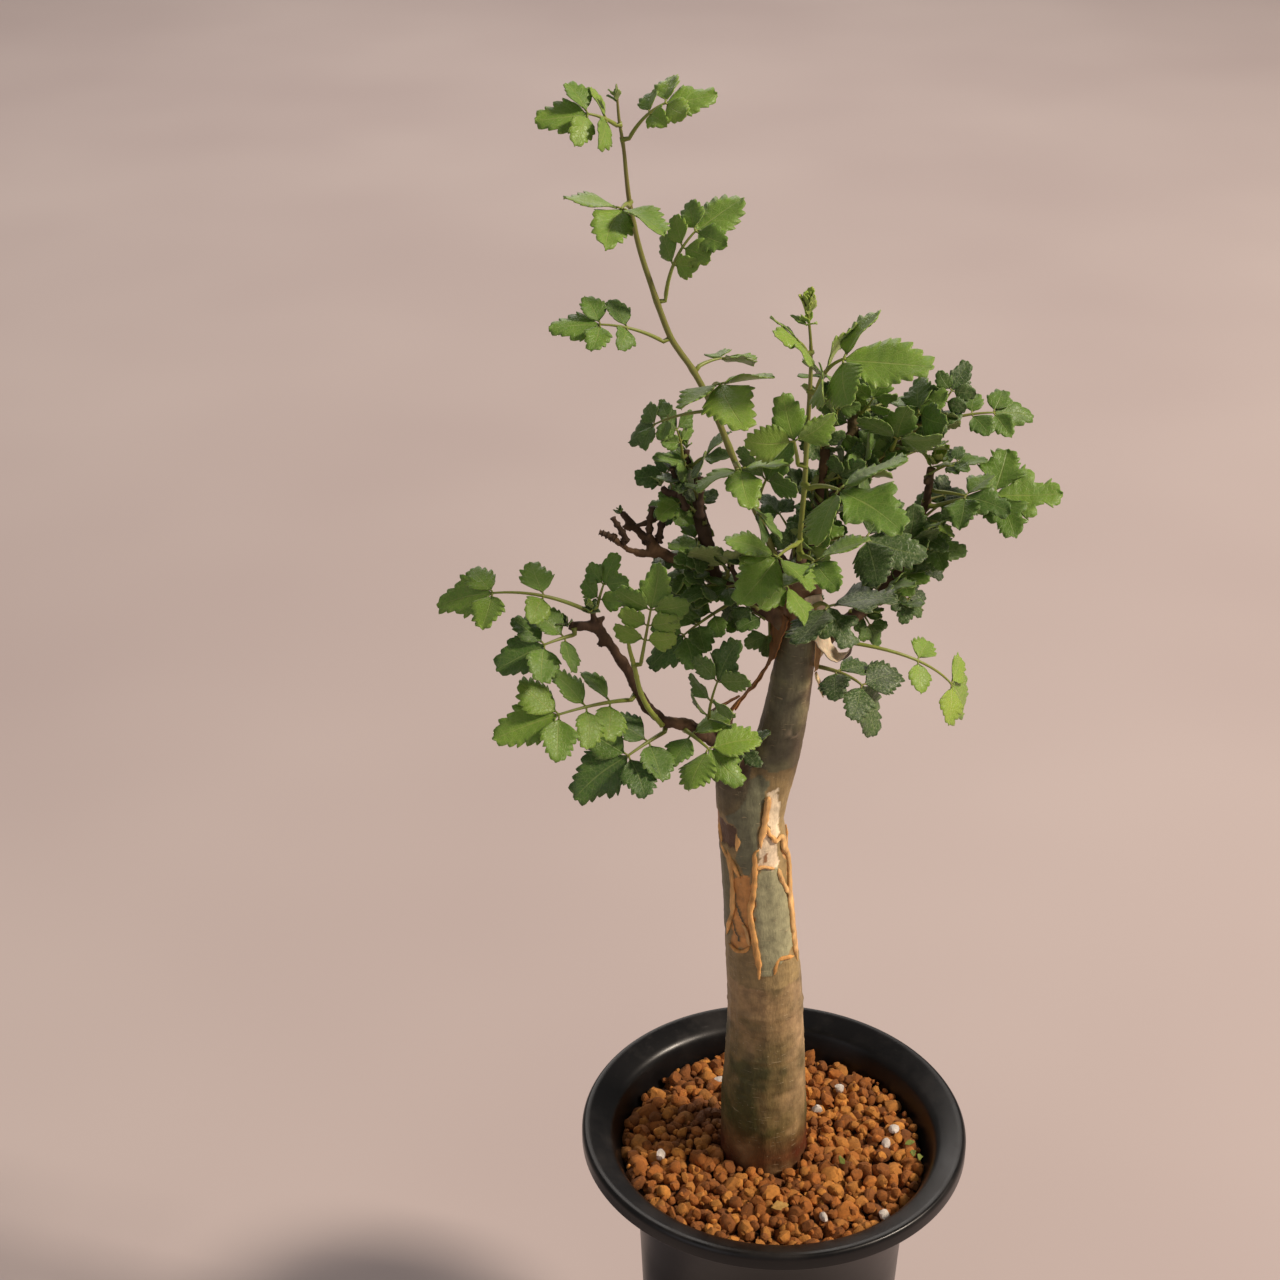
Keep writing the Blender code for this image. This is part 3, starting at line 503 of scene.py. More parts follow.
def makePot():
    # The wall's outline from the floor's middle, up the inside, over the flange and down the outside,
    # turned about Z. Then the drain slots are cut through the floor.
    rim = lipRadius
    wall, mouth = pot["wall"], pot["mouth"]
    base = float(innerRadius(0.0)) + wall
    channel = base - pot["footWidth"]
    funnelFoot = potTop - pot["funnelDepth"]
    down = np.linspace(potTop - pot["dish"], funnelFoot, 9)
    corners = [(0, pot["floor"], 0), (float(innerRadius(pot["floor"])), pot["floor"], 1.2)]
    corners += [(float(innerRadius(z)), z, 2.0) for z in down[:0:-1]]
    corners += [
        (mouth, potTop - pot["dish"], 1.4),
        (mouth + 0.35 * (rim - mouth), potTop - 0.5 * pot["dish"], 2.0),
        (rim - 1.6 * wall, potTop - 0.02 * pot["dish"], 1.0),
        (rim - 0.55 * wall, potTop, 0.5),
        (rim, potTop - 0.8 * wall, 0.5),
        (rim, potTop - pot["lipDepth"], 0.35),
        (rim - wall, potTop - pot["lipDepth"], 0.3),
        (rim - 1.3 * wall, potTop - 1.6 * wall, 0.8),
        (mouth + 0.8 * wall, potTop - pot["dish"] - wall, 1.6),
    ]
    corners += [(float(innerRadius(z)) + wall, z, 2.0) for z in down[1:]]
    corners += [
        (base, 0.0, 0.7),
        (channel, 0.0, 0.4),
        (channel - 0.4, pot["foot"], 0.5),
        (pot["hub"] + 0.4, pot["foot"], 0.5),
        (pot["hub"], 0.0, 0.4),
        (0, 0.0, 0),
    ]
    turned = lathe(roundedOutline(corners, pot["rounding"])[::-1], pot["turns"])
    piece = makePiece("flared_pot", [turned], [blackPlastic], ["pot"], sharp=pot["sharp"])
    reach = (channel - pot["hub"]) * 0.3
    corner = np.array([(x, y, z) for x in (-1, 1) for y in (-1, 1) for z in (-1, 1)], float)
    block = corner * (reach, pot["slotWidth"] / 2, 4.0) + ((channel + pot["hub"]) / 2, 0, pot["foot"])
    sides = np.array([(0, 1, 3, 2), (4, 6, 7, 5), (0, 4, 5, 1), (2, 3, 7, 6), (0, 2, 6, 4), (1, 5, 7, 3)])
    cutters = []
    for index in range(pot["slots"]):
        angle = tau * (index + 0.5) / pot["slots"]
        cosine, sine = math.cos(angle), math.sin(angle)
        cutters.append(part(block @ np.array([(cosine, sine, 0), (-sine, cosine, 0), (0, 0, 1)]), [sides]))
    cutter = makePiece("slot_cutter", cutters, [blackPlastic])
    cut = piece.modifiers.new("slots", "BOOLEAN")
    cut.object = cutter
    cut.solver = "EXACT"
    depsgraph = bpy.context.evaluated_depsgraph_get()
    done = bpy.data.meshes.new_from_object(piece.evaluated_get(depsgraph))
    piece.modifiers.clear()
    piece.data = done
    done.shade_smooth()
    done.set_sharp_from_angle(angle=math.radians(pot["sharp"]))
    bpy.data.objects.remove(cutter)


makePot()
report("pot turned")


# Wood: the frame's grown solid, remeshed fine, then given its own bark

# The main axis from the soil up the trunk and the upright stem: (x, y, height above the soil, radius).
mainAxis = np.array(
    [
        (-2.5, 0.5, -45, 6.0),
        (-2.5, 0.5, 0, 11.8),
        (-3.0, 0.4, 22, 11.3),
        (-3.1, 0.3, 43, 10.3),
        (-4.3, 0.2, 62, 9.7),
        (-5.8, 0.0, 81, 9.2),
        (-7.4, -0.2, 97, 8.7),
        (-8.0, -0.4, 106, 8.3),
        (-5.8, -0.2, 115, 7.2),
        (-3.4, 0.0, 123, 6.3),
        (-1.8, 0.0, 131, 5.8),
        (-0.2, 0.0, 141, 5.5),
        (1.2, 0.3, 152, 5.0),
        (2.4, 0.6, 163, 4.8),
        (3.2, 1.6, 180, 4.0),
        (5.0, 2.6, 187, 2.8),
    ]
)

wood = {
    "voxel": 0.55,
    "spurs": 46,  # short knobby spurs on the limbs
    "limbFrom": 118.0,  # height where limbs begin
    "smoothing": 7,
}

# Bark patches on the trunk: (colour, step out of the surface in mm, outline as (angle from the front,
# height above the soil)). A negative angle is to the left. Later patches lie over earlier ones.
barkPatches = [
    ("#8f7a52", 0.0, [(-100, 60), (-100, 124), (100, 124), (100, 60)]),
    ("#b87c46", -0.25, [(-100, 121), (-80, 122), (-66, 102), (-78, 100), (-100, 104)]),
    ("#5f4634", -0.35, [(-78, 110), (-56, 110), (-32, 107.7), (-31, 102.5), (-66, 101.7), (-80, 104)]),
    ("#6f6f56", 0.2, [(-56, 111), (-31, 108), (-27, 105), (-34, 99), (-22, 94), (-8, 95), (7, 103),
                      (-1, 112), (-6, 121), (-34, 123), (-62, 120)]),
    ("#cc9152", -0.3, [(-46, 93), (-8, 94.4), (-9, 84.6), (-18, 73), (-30, 71), (-59, 70.5), (-48, 82)]),
    ("#59553f", 0.1, [(-41, 88), (-36, 87.5), (-27, 80), (-30, 79.5)]),
    ("#59553f", 0.1, [(-50, 80), (-46, 80), (-38, 73), (-42, 73)]),
    ("#6b664a", 0.1, [(-100, 99), (-70, 100), (-50, 94), (-49, 82), (-62, 76), (-72, 72), (-100, 74)]),
    ("#ead9ba", -0.2, [(2, 118), (20, 119.5), (48, 113), (56, 105), (36, 104.2), (19, 110.4)]),
    ("#e6d2b4", -0.15, [(9, 103), (20, 107.5), (39, 103.5), (50, 98), (35, 95.5), (3, 97)]),
    ("#9b6f4a", -0.15, [(12, 100.5), (21, 101.2), (22, 98.4), (13, 98.2)]),
    ("#989574", 0.2, [(2, 96.3), (38, 96), (54, 86.4), (59, 70.6), (22, 68), (14, 64.4), (-6, 64),
                      (-12, 73.7), (-13, 82.8), (-4, 91)]),
    ("#c79a66", -0.1, [(60, 103), (85, 100), (100, 84), (100, 66), (68, 66), (62, 76), (64, 90)]),
    ("#7c7a5a", 0.2, [(105, 118), (150, 121), (165, 104), (150, 92), (118, 96)]),
    ("#c08a52", -0.3, [(112, 95), (148, 91), (140, 76), (120, 72)]),
    ("#8b8762", 0.2, [(150, 90), (200, 96), (215, 78), (180, 66), (152, 72)]),
    ("#ead9ba", -0.2, [(172, 116), (205, 119), (220, 104), (198, 98), (176, 102)]),
    ("#b87c46", -0.25, [(222, 112), (250, 108), (246, 86), (226, 92)]),
]


def axisAt(height):
    # Centre and radius of the trunk or upright stem at heights above the soil.
    columns = [np.interp(height, mainAxis[:, 2], mainAxis[:, k]) for k in (0, 1, 3)]
    return np.stack(columns[:2], axis=-1), columns[2]


def onTrunk(angle, height, out):
    # The point out millimetres off the trunk's surface, at angles in degrees from the front.
    centre, radius = axisAt(np.asarray(height, float))
    turn = np.radians(angle)
    away = np.stack([np.sin(turn), -np.cos(turn)], axis=-1)
    flat = centre + away * (radius + out)[..., None]
    return np.concatenate([flat, (np.asarray(height, float) + soilLevel)[..., None]], axis=-1)


def insideOutline(x, y, outline):
    # Even-odd rule: how many sides of the outline a line to the right of each point crosses.
    outline = np.asarray(outline, float)
    inside = np.zeros(x.shape, bool)
    for (ax, ay), (bx, by) in zip(outline, np.roll(outline, -1, axis=0)):
        if ay != by:
            crosses = ((ay > y) != (by > y)) & (x < (bx - ax) * (y - ay) / (by - ay) + ax)
            inside ^= crosses
    return inside


def meshArrays(mesh):
    # The mesh's points in millimetres, its edges and its faces' corners.
    points = np.empty(len(mesh.vertices) * 3)
    mesh.vertices.foreach_get("co", points)
    edges = np.empty(len(mesh.edges) * 2, np.int32)
    mesh.edges.foreach_get("vertices", edges)
    loops = np.empty(len(mesh.loops), np.int32)
    mesh.loops.foreach_get("vertex_index", loops)
    return points.reshape(-1, 3) / mm, edges.reshape(-1, 2), loops


def relaxed(points, edges, rounds):
    # Taubin smoothing: each point moves towards its neighbours' mean by half, then back out by 0.53 of
    # the way, so that bumps fade and thickness stays.
    degree = np.bincount(edges.ravel(), minlength=len(points))[:, None]
    for step in (0.5, -0.53) * rounds:
        total = np.zeros_like(points)
        for axis in range(3):
            total[:, axis] = np.bincount(edges[:, 0], points[edges[:, 1], axis], len(points))
            total[:, axis] += np.bincount(edges[:, 1], points[edges[:, 0], axis], len(points))
        points = points + step * (total / np.maximum(degree, 1) - points)
    return points


def nodePoints(name):
    # The different points of a node of the frame, in millimetres.
    points = np.empty(len(nodes[name].data.vertices) * 3)
    nodes[name].data.vertices.foreach_get("co", points)
    return np.unique(np.round(points.reshape(-1, 3) / mm, 3), axis=0)


def fineWood():
    # Joins the frame's wood with short knobby spurs, and remeshes them as one skin.
    rng = np.random.default_rng(5)
    form = bmesh.new()
    form.from_mesh(nodes["trunk_and_limbs"].data)
    bmesh.ops.remove_doubles(form, verts=form.verts, dist=1e-6)
    bmesh.ops.subdivide_edges(form, edges=[e for e in form.edges if e.calc_length() > 3 * mm], cuts=2)
    spots = np.array([v.co for v in form.verts]) / mm
    height = spots[:, 2] - soilLevel
    centre, radius = axisAt(height)
    away = np.linalg.norm(spots[:, :2] - centre, axis=1)
    limb = np.flatnonzero((height > wood["limbFrom"] + 8) & ((away > radius * 1.5) | (height > 176)))
    for index in rng.choice(limb, wood["spurs"], replace=False):
        size = rng.uniform(0.7, 1.25)
        outward = unit(rng.normal(size=3) * (1, 1, 0.6) + (0, 0, 0.35))
        for step in range(2):
            at = (spots[index] + outward * size * (0.5 + 0.9 * step)) * mm
            made = bmesh.ops.create_icosphere(form, subdivisions=1, radius=size * (1.0 - 0.3 * step) * mm)
            bmesh.ops.translate(form, vec=at, verts=made["verts"])
    mesh = bpy.data.meshes.new("wood")
    form.to_mesh(mesh)
    form.free()
    rough = bpy.data.objects.new("wood", mesh)
    bpy.context.scene.collection.objects.link(rough)
    skin = rough.modifiers.new("skin", "REMESH")
    skin.mode = "VOXEL"
    skin.voxel_size = wood["voxel"] * mm
    skin.adaptivity = 0.0
    depsgraph = bpy.context.evaluated_depsgraph_get()
    fine = bpy.data.meshes.new_from_object(rough.evaluated_get(depsgraph))
    bpy.data.objects.remove(rough)
    points, edges, loops = meshArrays(fine)
    points = relaxed(points, edges, wood["smoothing"])
    fine.vertices.foreach_set("co", (points * mm).ravel())
    fine.update()
    normals = np.empty(len(points) * 3)
    fine.vertices.foreach_get("normal", normals)
    return points, normals.reshape(-1, 3), loops.reshape(-1, 4)


def colourOf(codes):
    # Linear colours of the hex codes, one row each.
    return np.array([linear(code)[:3] for code in codes])


def blendTo(colour, code, share):
    # Each colour moved towards the code's by its share of the way.
    return colour + (colourOf([code]) - colour) * share[:, None]


def makeWood():
    # Colour and relief of each point of the skin, from its angle round the trunk, its height above the
    # soil, its distance from the axis as a share of the trunk's radius, and noise.
    points, normals, faces = fineWood()
    height = points[:, 2] - soilLevel
    centre, radius = axisAt(height)
    flat = points[:, :2] - centre
    away = np.linalg.norm(flat, axis=1) / radius
    angle = np.degrees(np.arctan2(flat[:, 0], -flat[:, 1]))
    main = (1.0 - ramp(away, 1.12, 1.6)) * (1.0 - ramp(height, 172, 184))
    # Trunk colour: tan, with olive blotches, greyer up the stem, red-brown at the soil.
    blotch = noise(points, 9.0, 3) + 0.6 * noise(points, 4.0, 4) + 0.3 * noise(points, 1.8, 5)
    clipped = np.clip(blotch, -1, 1)
    colour = np.broadcast_to(colourOf(["#77653f"]), points.shape).copy()
    colour = blendTo(colour, "#4c4a27", ramp(blotch, -0.1, 0.7) * (1 - ramp(height, 70, 110)))
    colour = blendTo(colour, "#a3875f", ramp(-blotch, 0.3, 0.9) * 0.6)
    belt = ramp(height, 40, 48) * (1 - ramp(height, 60, 68))
    colour = blendTo(colour, "#a5875f", belt * (0.55 - 0.4 * clipped))
    colour = blendTo(colour, "#64604a", ramp(height, 108, 122))
    colour = blendTo(colour, "#86835f", ramp(blotch, 0.1, 0.9) * ramp(height, 112, 125) * 0.8)
    colour = blendTo(colour, "#5a2413", (1 - ramp(height, 3.0, 15.0)) * (0.75 + 0.35 * clipped))
    # Painted light: the right side, towards the key light, is painted paler, most where blotches are low.
    paintedLitSide = ramp(angle, 18, 62) * (1 - ramp(angle, 105, 150)) * ramp(height, 8, 22)
    colour = blendTo(colour, "#c2a27c", paintedLitSide * (0.42 - 0.2 * clipped))
    # Torn zone: outlines wander by about a millimetre.
    step = np.zeros(len(points))
    wanderAngle = angle + 5.0 * noise(points, 3.2, 8) + 2.5 * noise(points, 1.3, 9)
    wanderHeight = height + 1.0 * noise(points, 2.6, 10) + 0.4 * noise(points, 1.1, 11)
    onMain = (away < 1.35) & (height > 55) & (height < 128)
    for code, out, outline in barkPatches:
        turned = np.where(wanderAngle < min(a for a, _ in outline) - 1, wanderAngle + 360, wanderAngle)
        inside = insideOutline(turned, wanderHeight, outline) & onMain
        # Patches on the lit right side are painted lighter as well.
        colour[inside] = colourOf([code]) * (1.0 + 0.12 * blotch + 0.3 * paintedLitSide)[inside, None]
        step[inside] = out
    # Limbs: dark brown, knobby, with olive young ends.
    limb = blendTo(colourOf(["#4b3626"]), "#70553c", ramp(blotch, 0.0, 0.9))
    limb = blendTo(limb, "#77713f", ramp(height, 192, 206) * ramp(points[:, 0], 8, 20) * 0.7)
    limbShare = (1.0 - main) * ramp(height, 112, 128)
    colour = colour + (limb - colour) * limbShare[:, None]
    # Pale scar bumps of an old bud, and red-brown bark where the upright stem ends.
    scar = np.exp(-(((angle - 24) / 16) ** 2 + ((height - 134.6) / 1.3) ** 2)) * (away < 1.4)
    colour = blendTo(colour, "#b9a98c", scar * ramp(noise(points, 0.9, 21), -0.2, 0.5))
    colour = blendTo(colour, "#8a5f3c", ramp(height, 160, 166) * (1 - ramp(height, 172, 178)) * main * 0.8)
    rings = noise(points * (0.25, 0.25, 1.0), 1.1, 12)
    knobs = 0.26 * noise(points, 1.5, 13) + 0.16 * noise(points, 0.8, 14)
    relief = step + main * (0.16 * blotch + 0.07 * rings) + limbShare * knobs
    relief = relief + scar * 0.9 * ramp(noise(points, 1.2, 22), -0.3, 0.6)
    swell = np.exp(-((height - 50.0) / 0.7) ** 2) * 0.22 + np.exp(-((height - 36.0) / 0.6) ** 2) * 0.16
    relief = relief + main * swell
    points = points + normals * relief[:, None]
    tint = np.concatenate([np.clip(colour, 0, 1), limbShare[:, None]], axis=1)
    skin = part(points, [faces], None, tint)
    makePiece("trunk_and_branches", [skin], [barkSkin], ["trunk_and_limbs"])
    return points, limbShare


woodPoints, woodLimb = makeWood()
report(f"wood remeshed, {len(woodPoints)} points")


# Shoots of the year: the frame's green tubes, made finer


shootSides = 7  # sides of the frame's shoots
shootRoot = 2.2  # how far a shoot goes into the wood
shootWidth = 0.8  # its thickness as a share of the frame's


def shootPath(name):
    # The frame's shoot is a stack of seven-sided rings, so its points sorted by height fall into rings.
    points = nodePoints(name)
    points = points[np.argsort(points[:, 2])]
    rings = points[: len(points) // shootSides * shootSides].reshape(-1, shootSides, 3)
    centre = rings.mean(axis=1)
    radius = np.linalg.norm(rings - centre[:, None], axis=2).mean(axis=1)
    below = centre[0] - unit(centre[1] - centre[0]) * shootRoot
    rows = np.column_stack([np.vstack([below, centre]), np.concatenate([radius[:1], radius])])
    return smoothPath(rows, 150)


shoots = {
    "leader_shoot": (0.80, 0.75),  # age and how much it browns
    "front_shoot": (0.65, 0.9),
    "low_shoot": (0.3, 0.2),
}
bearers = [woodPoints[::5]]
for name, (age, blush) in shoots.items():
    path = shootPath(name)
    along = np.linspace(0, 1, len(path))
    joints = 1.0 + 0.16 * np.maximum(0.0, np.cos(along * tau * 7.0)) ** 12
    wide = shootWidth * path[:, 3] * joints
    made = tube(path[:, :3], wide, wide, 14, (0, 1, 0.1), (age, blush, 0, 0))
    # Browner towards the tip.
    made["tint"] = made["tint"].copy()
    made["tint"][:, 1] *= 0.35 + 0.65 * ramp(made["uv"][:, 0], 0.55, 0.85)
    makePiece(name + "_green", [made], [stemSkin], [name])
    bearers.append(path[:, :3])
bearers = np.vstack(bearers)


bareTwigs = [  # (x, y, height above the soil) of foot and tip, and radius
    (-40.2, 1, 184.2, -43, 1, 190.2, 0.7),
    (-34.7, 5, 182.5, -34.2, 5, 191.8, 0.75),
    (-32, 6, 182.8, -30.4, 6, 192.3, 0.75),
    (-39.2, 6, 185.2, -27.1, 6, 189.5, 0.5),
    (-43.2, 0, 185.5, -46.5, 0, 187, 0.7),
    (-25.7, 4, 191.7, -29.1, 4, 201.3, 0.7),
    (-22.2, 2, 190.5, -22.5, 2, 200.1, 0.7),
    (-11.5, -2, 172.7, -17.2, -2, 181.7, 0.7),
]


def makeTwigs():
    # Each twig: a tube from inside the wood, crooked by noise, with a knob where each bud was.
    made = []
    dark = (*colourOf(["#4b3828"])[0], 1.0)
    for twig in bareTwigs:
        lift = np.array([0, 0, soilLevel])
        foot, tip, radius = np.array(twig[:3]) + lift, np.array(twig[3:6]) + lift, twig[6]
        nearest = bearers[np.argmin(((bearers - foot) ** 2).sum(axis=1))]
        path = smoothPath([nearest, foot, 0.5 * (foot + tip), tip], 40)
        crook = np.stack([noise(path + 50 * k, 4.0, 90 + k) for k in range(3)], axis=-1)
        along = np.linspace(0, 1, len(path))
        knobs = 1.0 + 0.55 * np.abs(np.sin(along * math.pi * 4.5)) ** 8
        wide = radius * knobs * (1.25 - 0.5 * along)
        made.append(tube(path + 0.7 * crook * along[:, None], wide, wide, 9, (0.1, 1, 0.05), dark))
    makePiece("bare_twigs", made, [barkSkin])


makeTwigs()
report("twigs made")


# Leaves

leaflets = {
    "columns": np.array([-1.0, -0.72, -0.36, 0.0, 0.36, 0.72, 1.0]),
    "toothPhases": np.array([0.0, 0.34, 0.66, 0.86]),
    "toothHeights": np.array([0.0, 0.66, 1.0, 0.62]),
    "thickness": 0.22,
    "foldShare": 0.17,  # how far the halves rise from the midrib
    "sideAngle": 66.0,  # between a side leaflet and the stalk
    "endSize": 1.45,  # length of the end leaflet against a side leaflet's
    "leastPitch": 0.55,  # from pair to pair, as a share of a side leaflet's length
    "stalk": (0.2, 0.024),  # a stalk's radius: the first, and the second times a leaflet's length
}


def leaflet(length, width, teeth, rng, droop, lobed, age, lot):
    # A leaflet on the grid (s along the midrib, t across). Half-width: s^0.55 (1-s)^0.9 scaled to its
    # peak, plus slow lobes, and at the rim a rounded tooth that leans forward. Height: halves raised by
    # the fold, the tip let down by s squared, the rim rippled, and the skin puffed between the veins.
    phases, heights = leaflets["toothPhases"], leaflets["toothHeights"]
    s = ((np.arange(teeth)[:, None] + phases) / teeth).ravel() * 0.95
    saw = np.tile(heights, teeth)
    s = np.concatenate([s, [0.955, 0.985, 1.0]])
    saw = np.concatenate([saw, [0.1, 0.25, 0.0]])
    t = leaflets["columns"]
    side = (t > 0).astype(int)
    size = rng.uniform(0.55, 1.3, (teeth + 1, 2))
    whichTooth = np.minimum((s / 0.95 * teeth + 1e-6).astype(int), teeth)
    toothSize = size[whichTooth][:, side]
    peak = (0.55 / 1.45) ** 0.55 * (0.9 / 1.45) ** 0.9
    form = (np.maximum(s, 0.003) ** 0.55 * (1.0 - np.minimum(s, 0.997)) ** 0.9) / peak
    lobe = 1.0 + lobed * np.cos(tau * (s[:, None] * 2.1 - 0.78 + rng.uniform(-0.06, 0.06, 2)[side]))
    edge = np.abs(t)
    rim = ramp(edge, 0.72, 1.0)
    tooth = saw[:, None] * toothSize * 0.095 * width * ramp(s, 0.05, 0.22)[:, None]
    half = np.maximum(0.5 * width * form[:, None] * lobe, 0.01 * width)
    x = length * s[:, None] + 0.08 * length * (1 - s[:, None]) * edge**1.6 + 0.9 * tooth * rim
    y = t * half + np.sign(t) * rim * tooth
    y = y + rng.uniform(-0.06, 0.06) * length * np.sin(math.pi * s)[:, None]
    veins = (s[:, None] - 0.25 * edge) * teeth
    puff = 0.006 * length * np.cos(tau * veins + math.pi) * ramp(s, 0.05, 0.2)[:, None]
    puff = puff * (4 * edge * (1 - edge)) ** 0.5
    phase, rate = rng.uniform(), rng.uniform(1.0, 1.8)
    ripple = 0.035 * length * np.sin(tau * (s[:, None] * rate + phase + 0.4 * side)) * edge**2
    fold = leaflets["foldShare"] * rng.uniform(0.4, 1.7) * np.abs(y) * (1.0 - 0.5 * s[:, None])
    curl = rng.uniform(-0.5, 0.25) * edge**2.2 * half * 0.5
    z = fold + curl - droop * length * (s[:, None] ** 2) + puff + ripple
    z = z - 0.02 * length * np.exp(-((edge / 0.16) ** 2)) * (1 - s[:, None])
    uv = np.stack(np.broadcast_arrays(s[:, None], 0.5 + 0.5 * t), axis=-1)
    tint = (age, 0.0, lot, float(teeth))
    return np.stack([x, y, z], axis=-1), uv, tint


def placeLeaflet(shape, at, ahead, up):
    # Turns the leaflet's own x, y and z to ahead, up crossed with ahead, and up.
    grid, uv, tint = shape
    up = unit(up - ahead * (up @ ahead))
    across = np.cross(up, ahead)
    top = at + grid[..., :1] * ahead + grid[..., 1:2] * across + grid[..., 2:] * up
    return sheet(top, leaflets["thickness"], up, uv, tint, (0, 1, 0, 0))


def compoundLeaf(foot, tip, up, arch, pairs, size, age, rng, bare=0.34, lobed=0.07):
    # One leaf: a stalk from inside the wood, bowed by 4t(1-t) times the arch, side leaflets in pairs at
    # even nodes, and an end leaflet from the last node to the tip.
    span = tip - foot
    length = np.linalg.norm(span)
    ahead = span / length
    up = unit(up - ahead * (up @ ahead))
    side = np.cross(ahead, up)
    endShare = min(0.6, leaflets["endSize"] * size / length)
    lastNode = 1.0 - endShare
    bare = max(0.08, min(bare, lastNode - leaflets["leastPitch"] * size * (pairs - 1) / length))
    pitch = (lastNode - bare) / max(pairs - 1, 1)

    def midline(t):
        t = np.asarray(t, float)[..., None]
        return foot + span * t + up * 4 * arch * t * (1 - t)

    nearest = bearers[np.argmin(((bearers - foot) ** 2).sum(axis=1))]
    root = nearest + unit(nearest - foot) * 0.5
    stalk = np.vstack([root, midline(np.linspace(0.0, lastNode + 0.02, 14))])
    thick = leaflets["stalk"][0] + leaflets["stalk"][1] * size
    taper = np.linspace(1.35, 0.62, len(stalk)) * thick
    taper[0] *= 1.25
    stalkTint = (0.25 + 0.5 * age, 0.35, 0, 0)
    guide = side + 0.01 * up
    made = [tube(stalk, taper, taper, 7, guide, stalkTint, 1)]
    for index in range(pairs):
        place = lastNode - pitch * (pairs - 1 - index)
        grown = size * (0.80 + 0.20 * (index + 1) / pairs)
        slope = unit(span + up * 4 * arch * (1 - 2 * place))
        lean = up - slope * (up @ slope)
        for sign in (-1, 1):
            turn = math.radians(leaflets["sideAngle"] + rng.uniform(-9, 9))
            out = slope * math.cos(turn) + side * sign * math.sin(turn) + lean * rng.uniform(0.0, 0.28)
            out = unit(out)
            at = midline(place) + out * 0.09 * size
            tilt = lean + side * rng.uniform(-0.3, 0.3) + slope * rng.uniform(-0.35, 0.15)
            own = grown * rng.uniform(0.9, 1.08)
            wide = own * rng.uniform(0.68, 0.82)
            droop = rng.uniform(0.02, 0.28)
            teeth = int(np.clip(round(own * 0.62), 4, 8))
            shape = leaflet(own, wide, teeth, rng, droop, lobed * rng.uniform(0.3, 1.2), age, rng.uniform())
            made.append(placeLeaflet(shape, at, out, tilt))
            joint = np.stack([midline(place), at + out * 0.3])
            joint = np.vstack([joint[0], joint.mean(axis=0), joint[1]])
            made.append(tube(joint, thick * 0.55, thick * 0.55, 5, lean, stalkTint, 1))
    at = midline(lastNode)
    out = unit(0.35 * unit(span + up * 4 * arch * (1 - 2 * lastNode)) + 0.65 * unit(tip - at))
    own = np.linalg.norm(tip - at)
    wide = own * rng.uniform(0.54, 0.66)
    teeth = int(np.clip(round(own * 0.42), 4, 7))
    shape = leaflet(own, wide, teeth, rng, rng.uniform(0.0, 0.16), lobed * 1.6, age, rng.uniform())
    made.append(placeLeaflet(shape, at, out, up + side * rng.uniform(-0.2, 0.2)))
    return made


def leafPlace(name):
    # Reads a leaf's foot, tip, facing and arch off its solid in the frame. The foot is the end nearest
    # the wood, the tip is the point farthest from it through the solid's middle, and the blade faces the
    # way most of the solid's area does, the side that looks up or forwards.
    points = nodePoints(name)
    gaps = np.sqrt(((points[:, None] - bearers) ** 2).sum(axis=2)).min(axis=1)
    first = points[np.argmin(gaps)]
    foot = points[np.linalg.norm(points - first, axis=1) < 1.5].mean(axis=0)
    ahead = unit(points.mean(axis=0) - foot)
    farthest = points[np.argmax((points - foot) @ ahead)]
    tip = points[np.linalg.norm(points - farthest, axis=1) < 1.2].mean(axis=0)
    ahead = unit(tip - foot)
    sides = nodes[name].data.polygons
    normals = np.array([side.normal for side in sides])
    normals = normals - np.outer(normals @ ahead, ahead)
    areas = np.array([side.area for side in sides])
    up = np.linalg.eigh((normals * areas[:, None]).T @ normals)[1][:, -1]
    if up @ (0.0, -0.6, 0.8) < 0:
        up = -up
    share = (points - foot) @ ahead / np.linalg.norm(tip - foot)
    bow = 4 * share * (1 - share)
    arch = float(((points - foot) @ up * bow).sum() / (bow**2).sum())
    return foot, tip, up, max(arch - 0.4, 0.3)


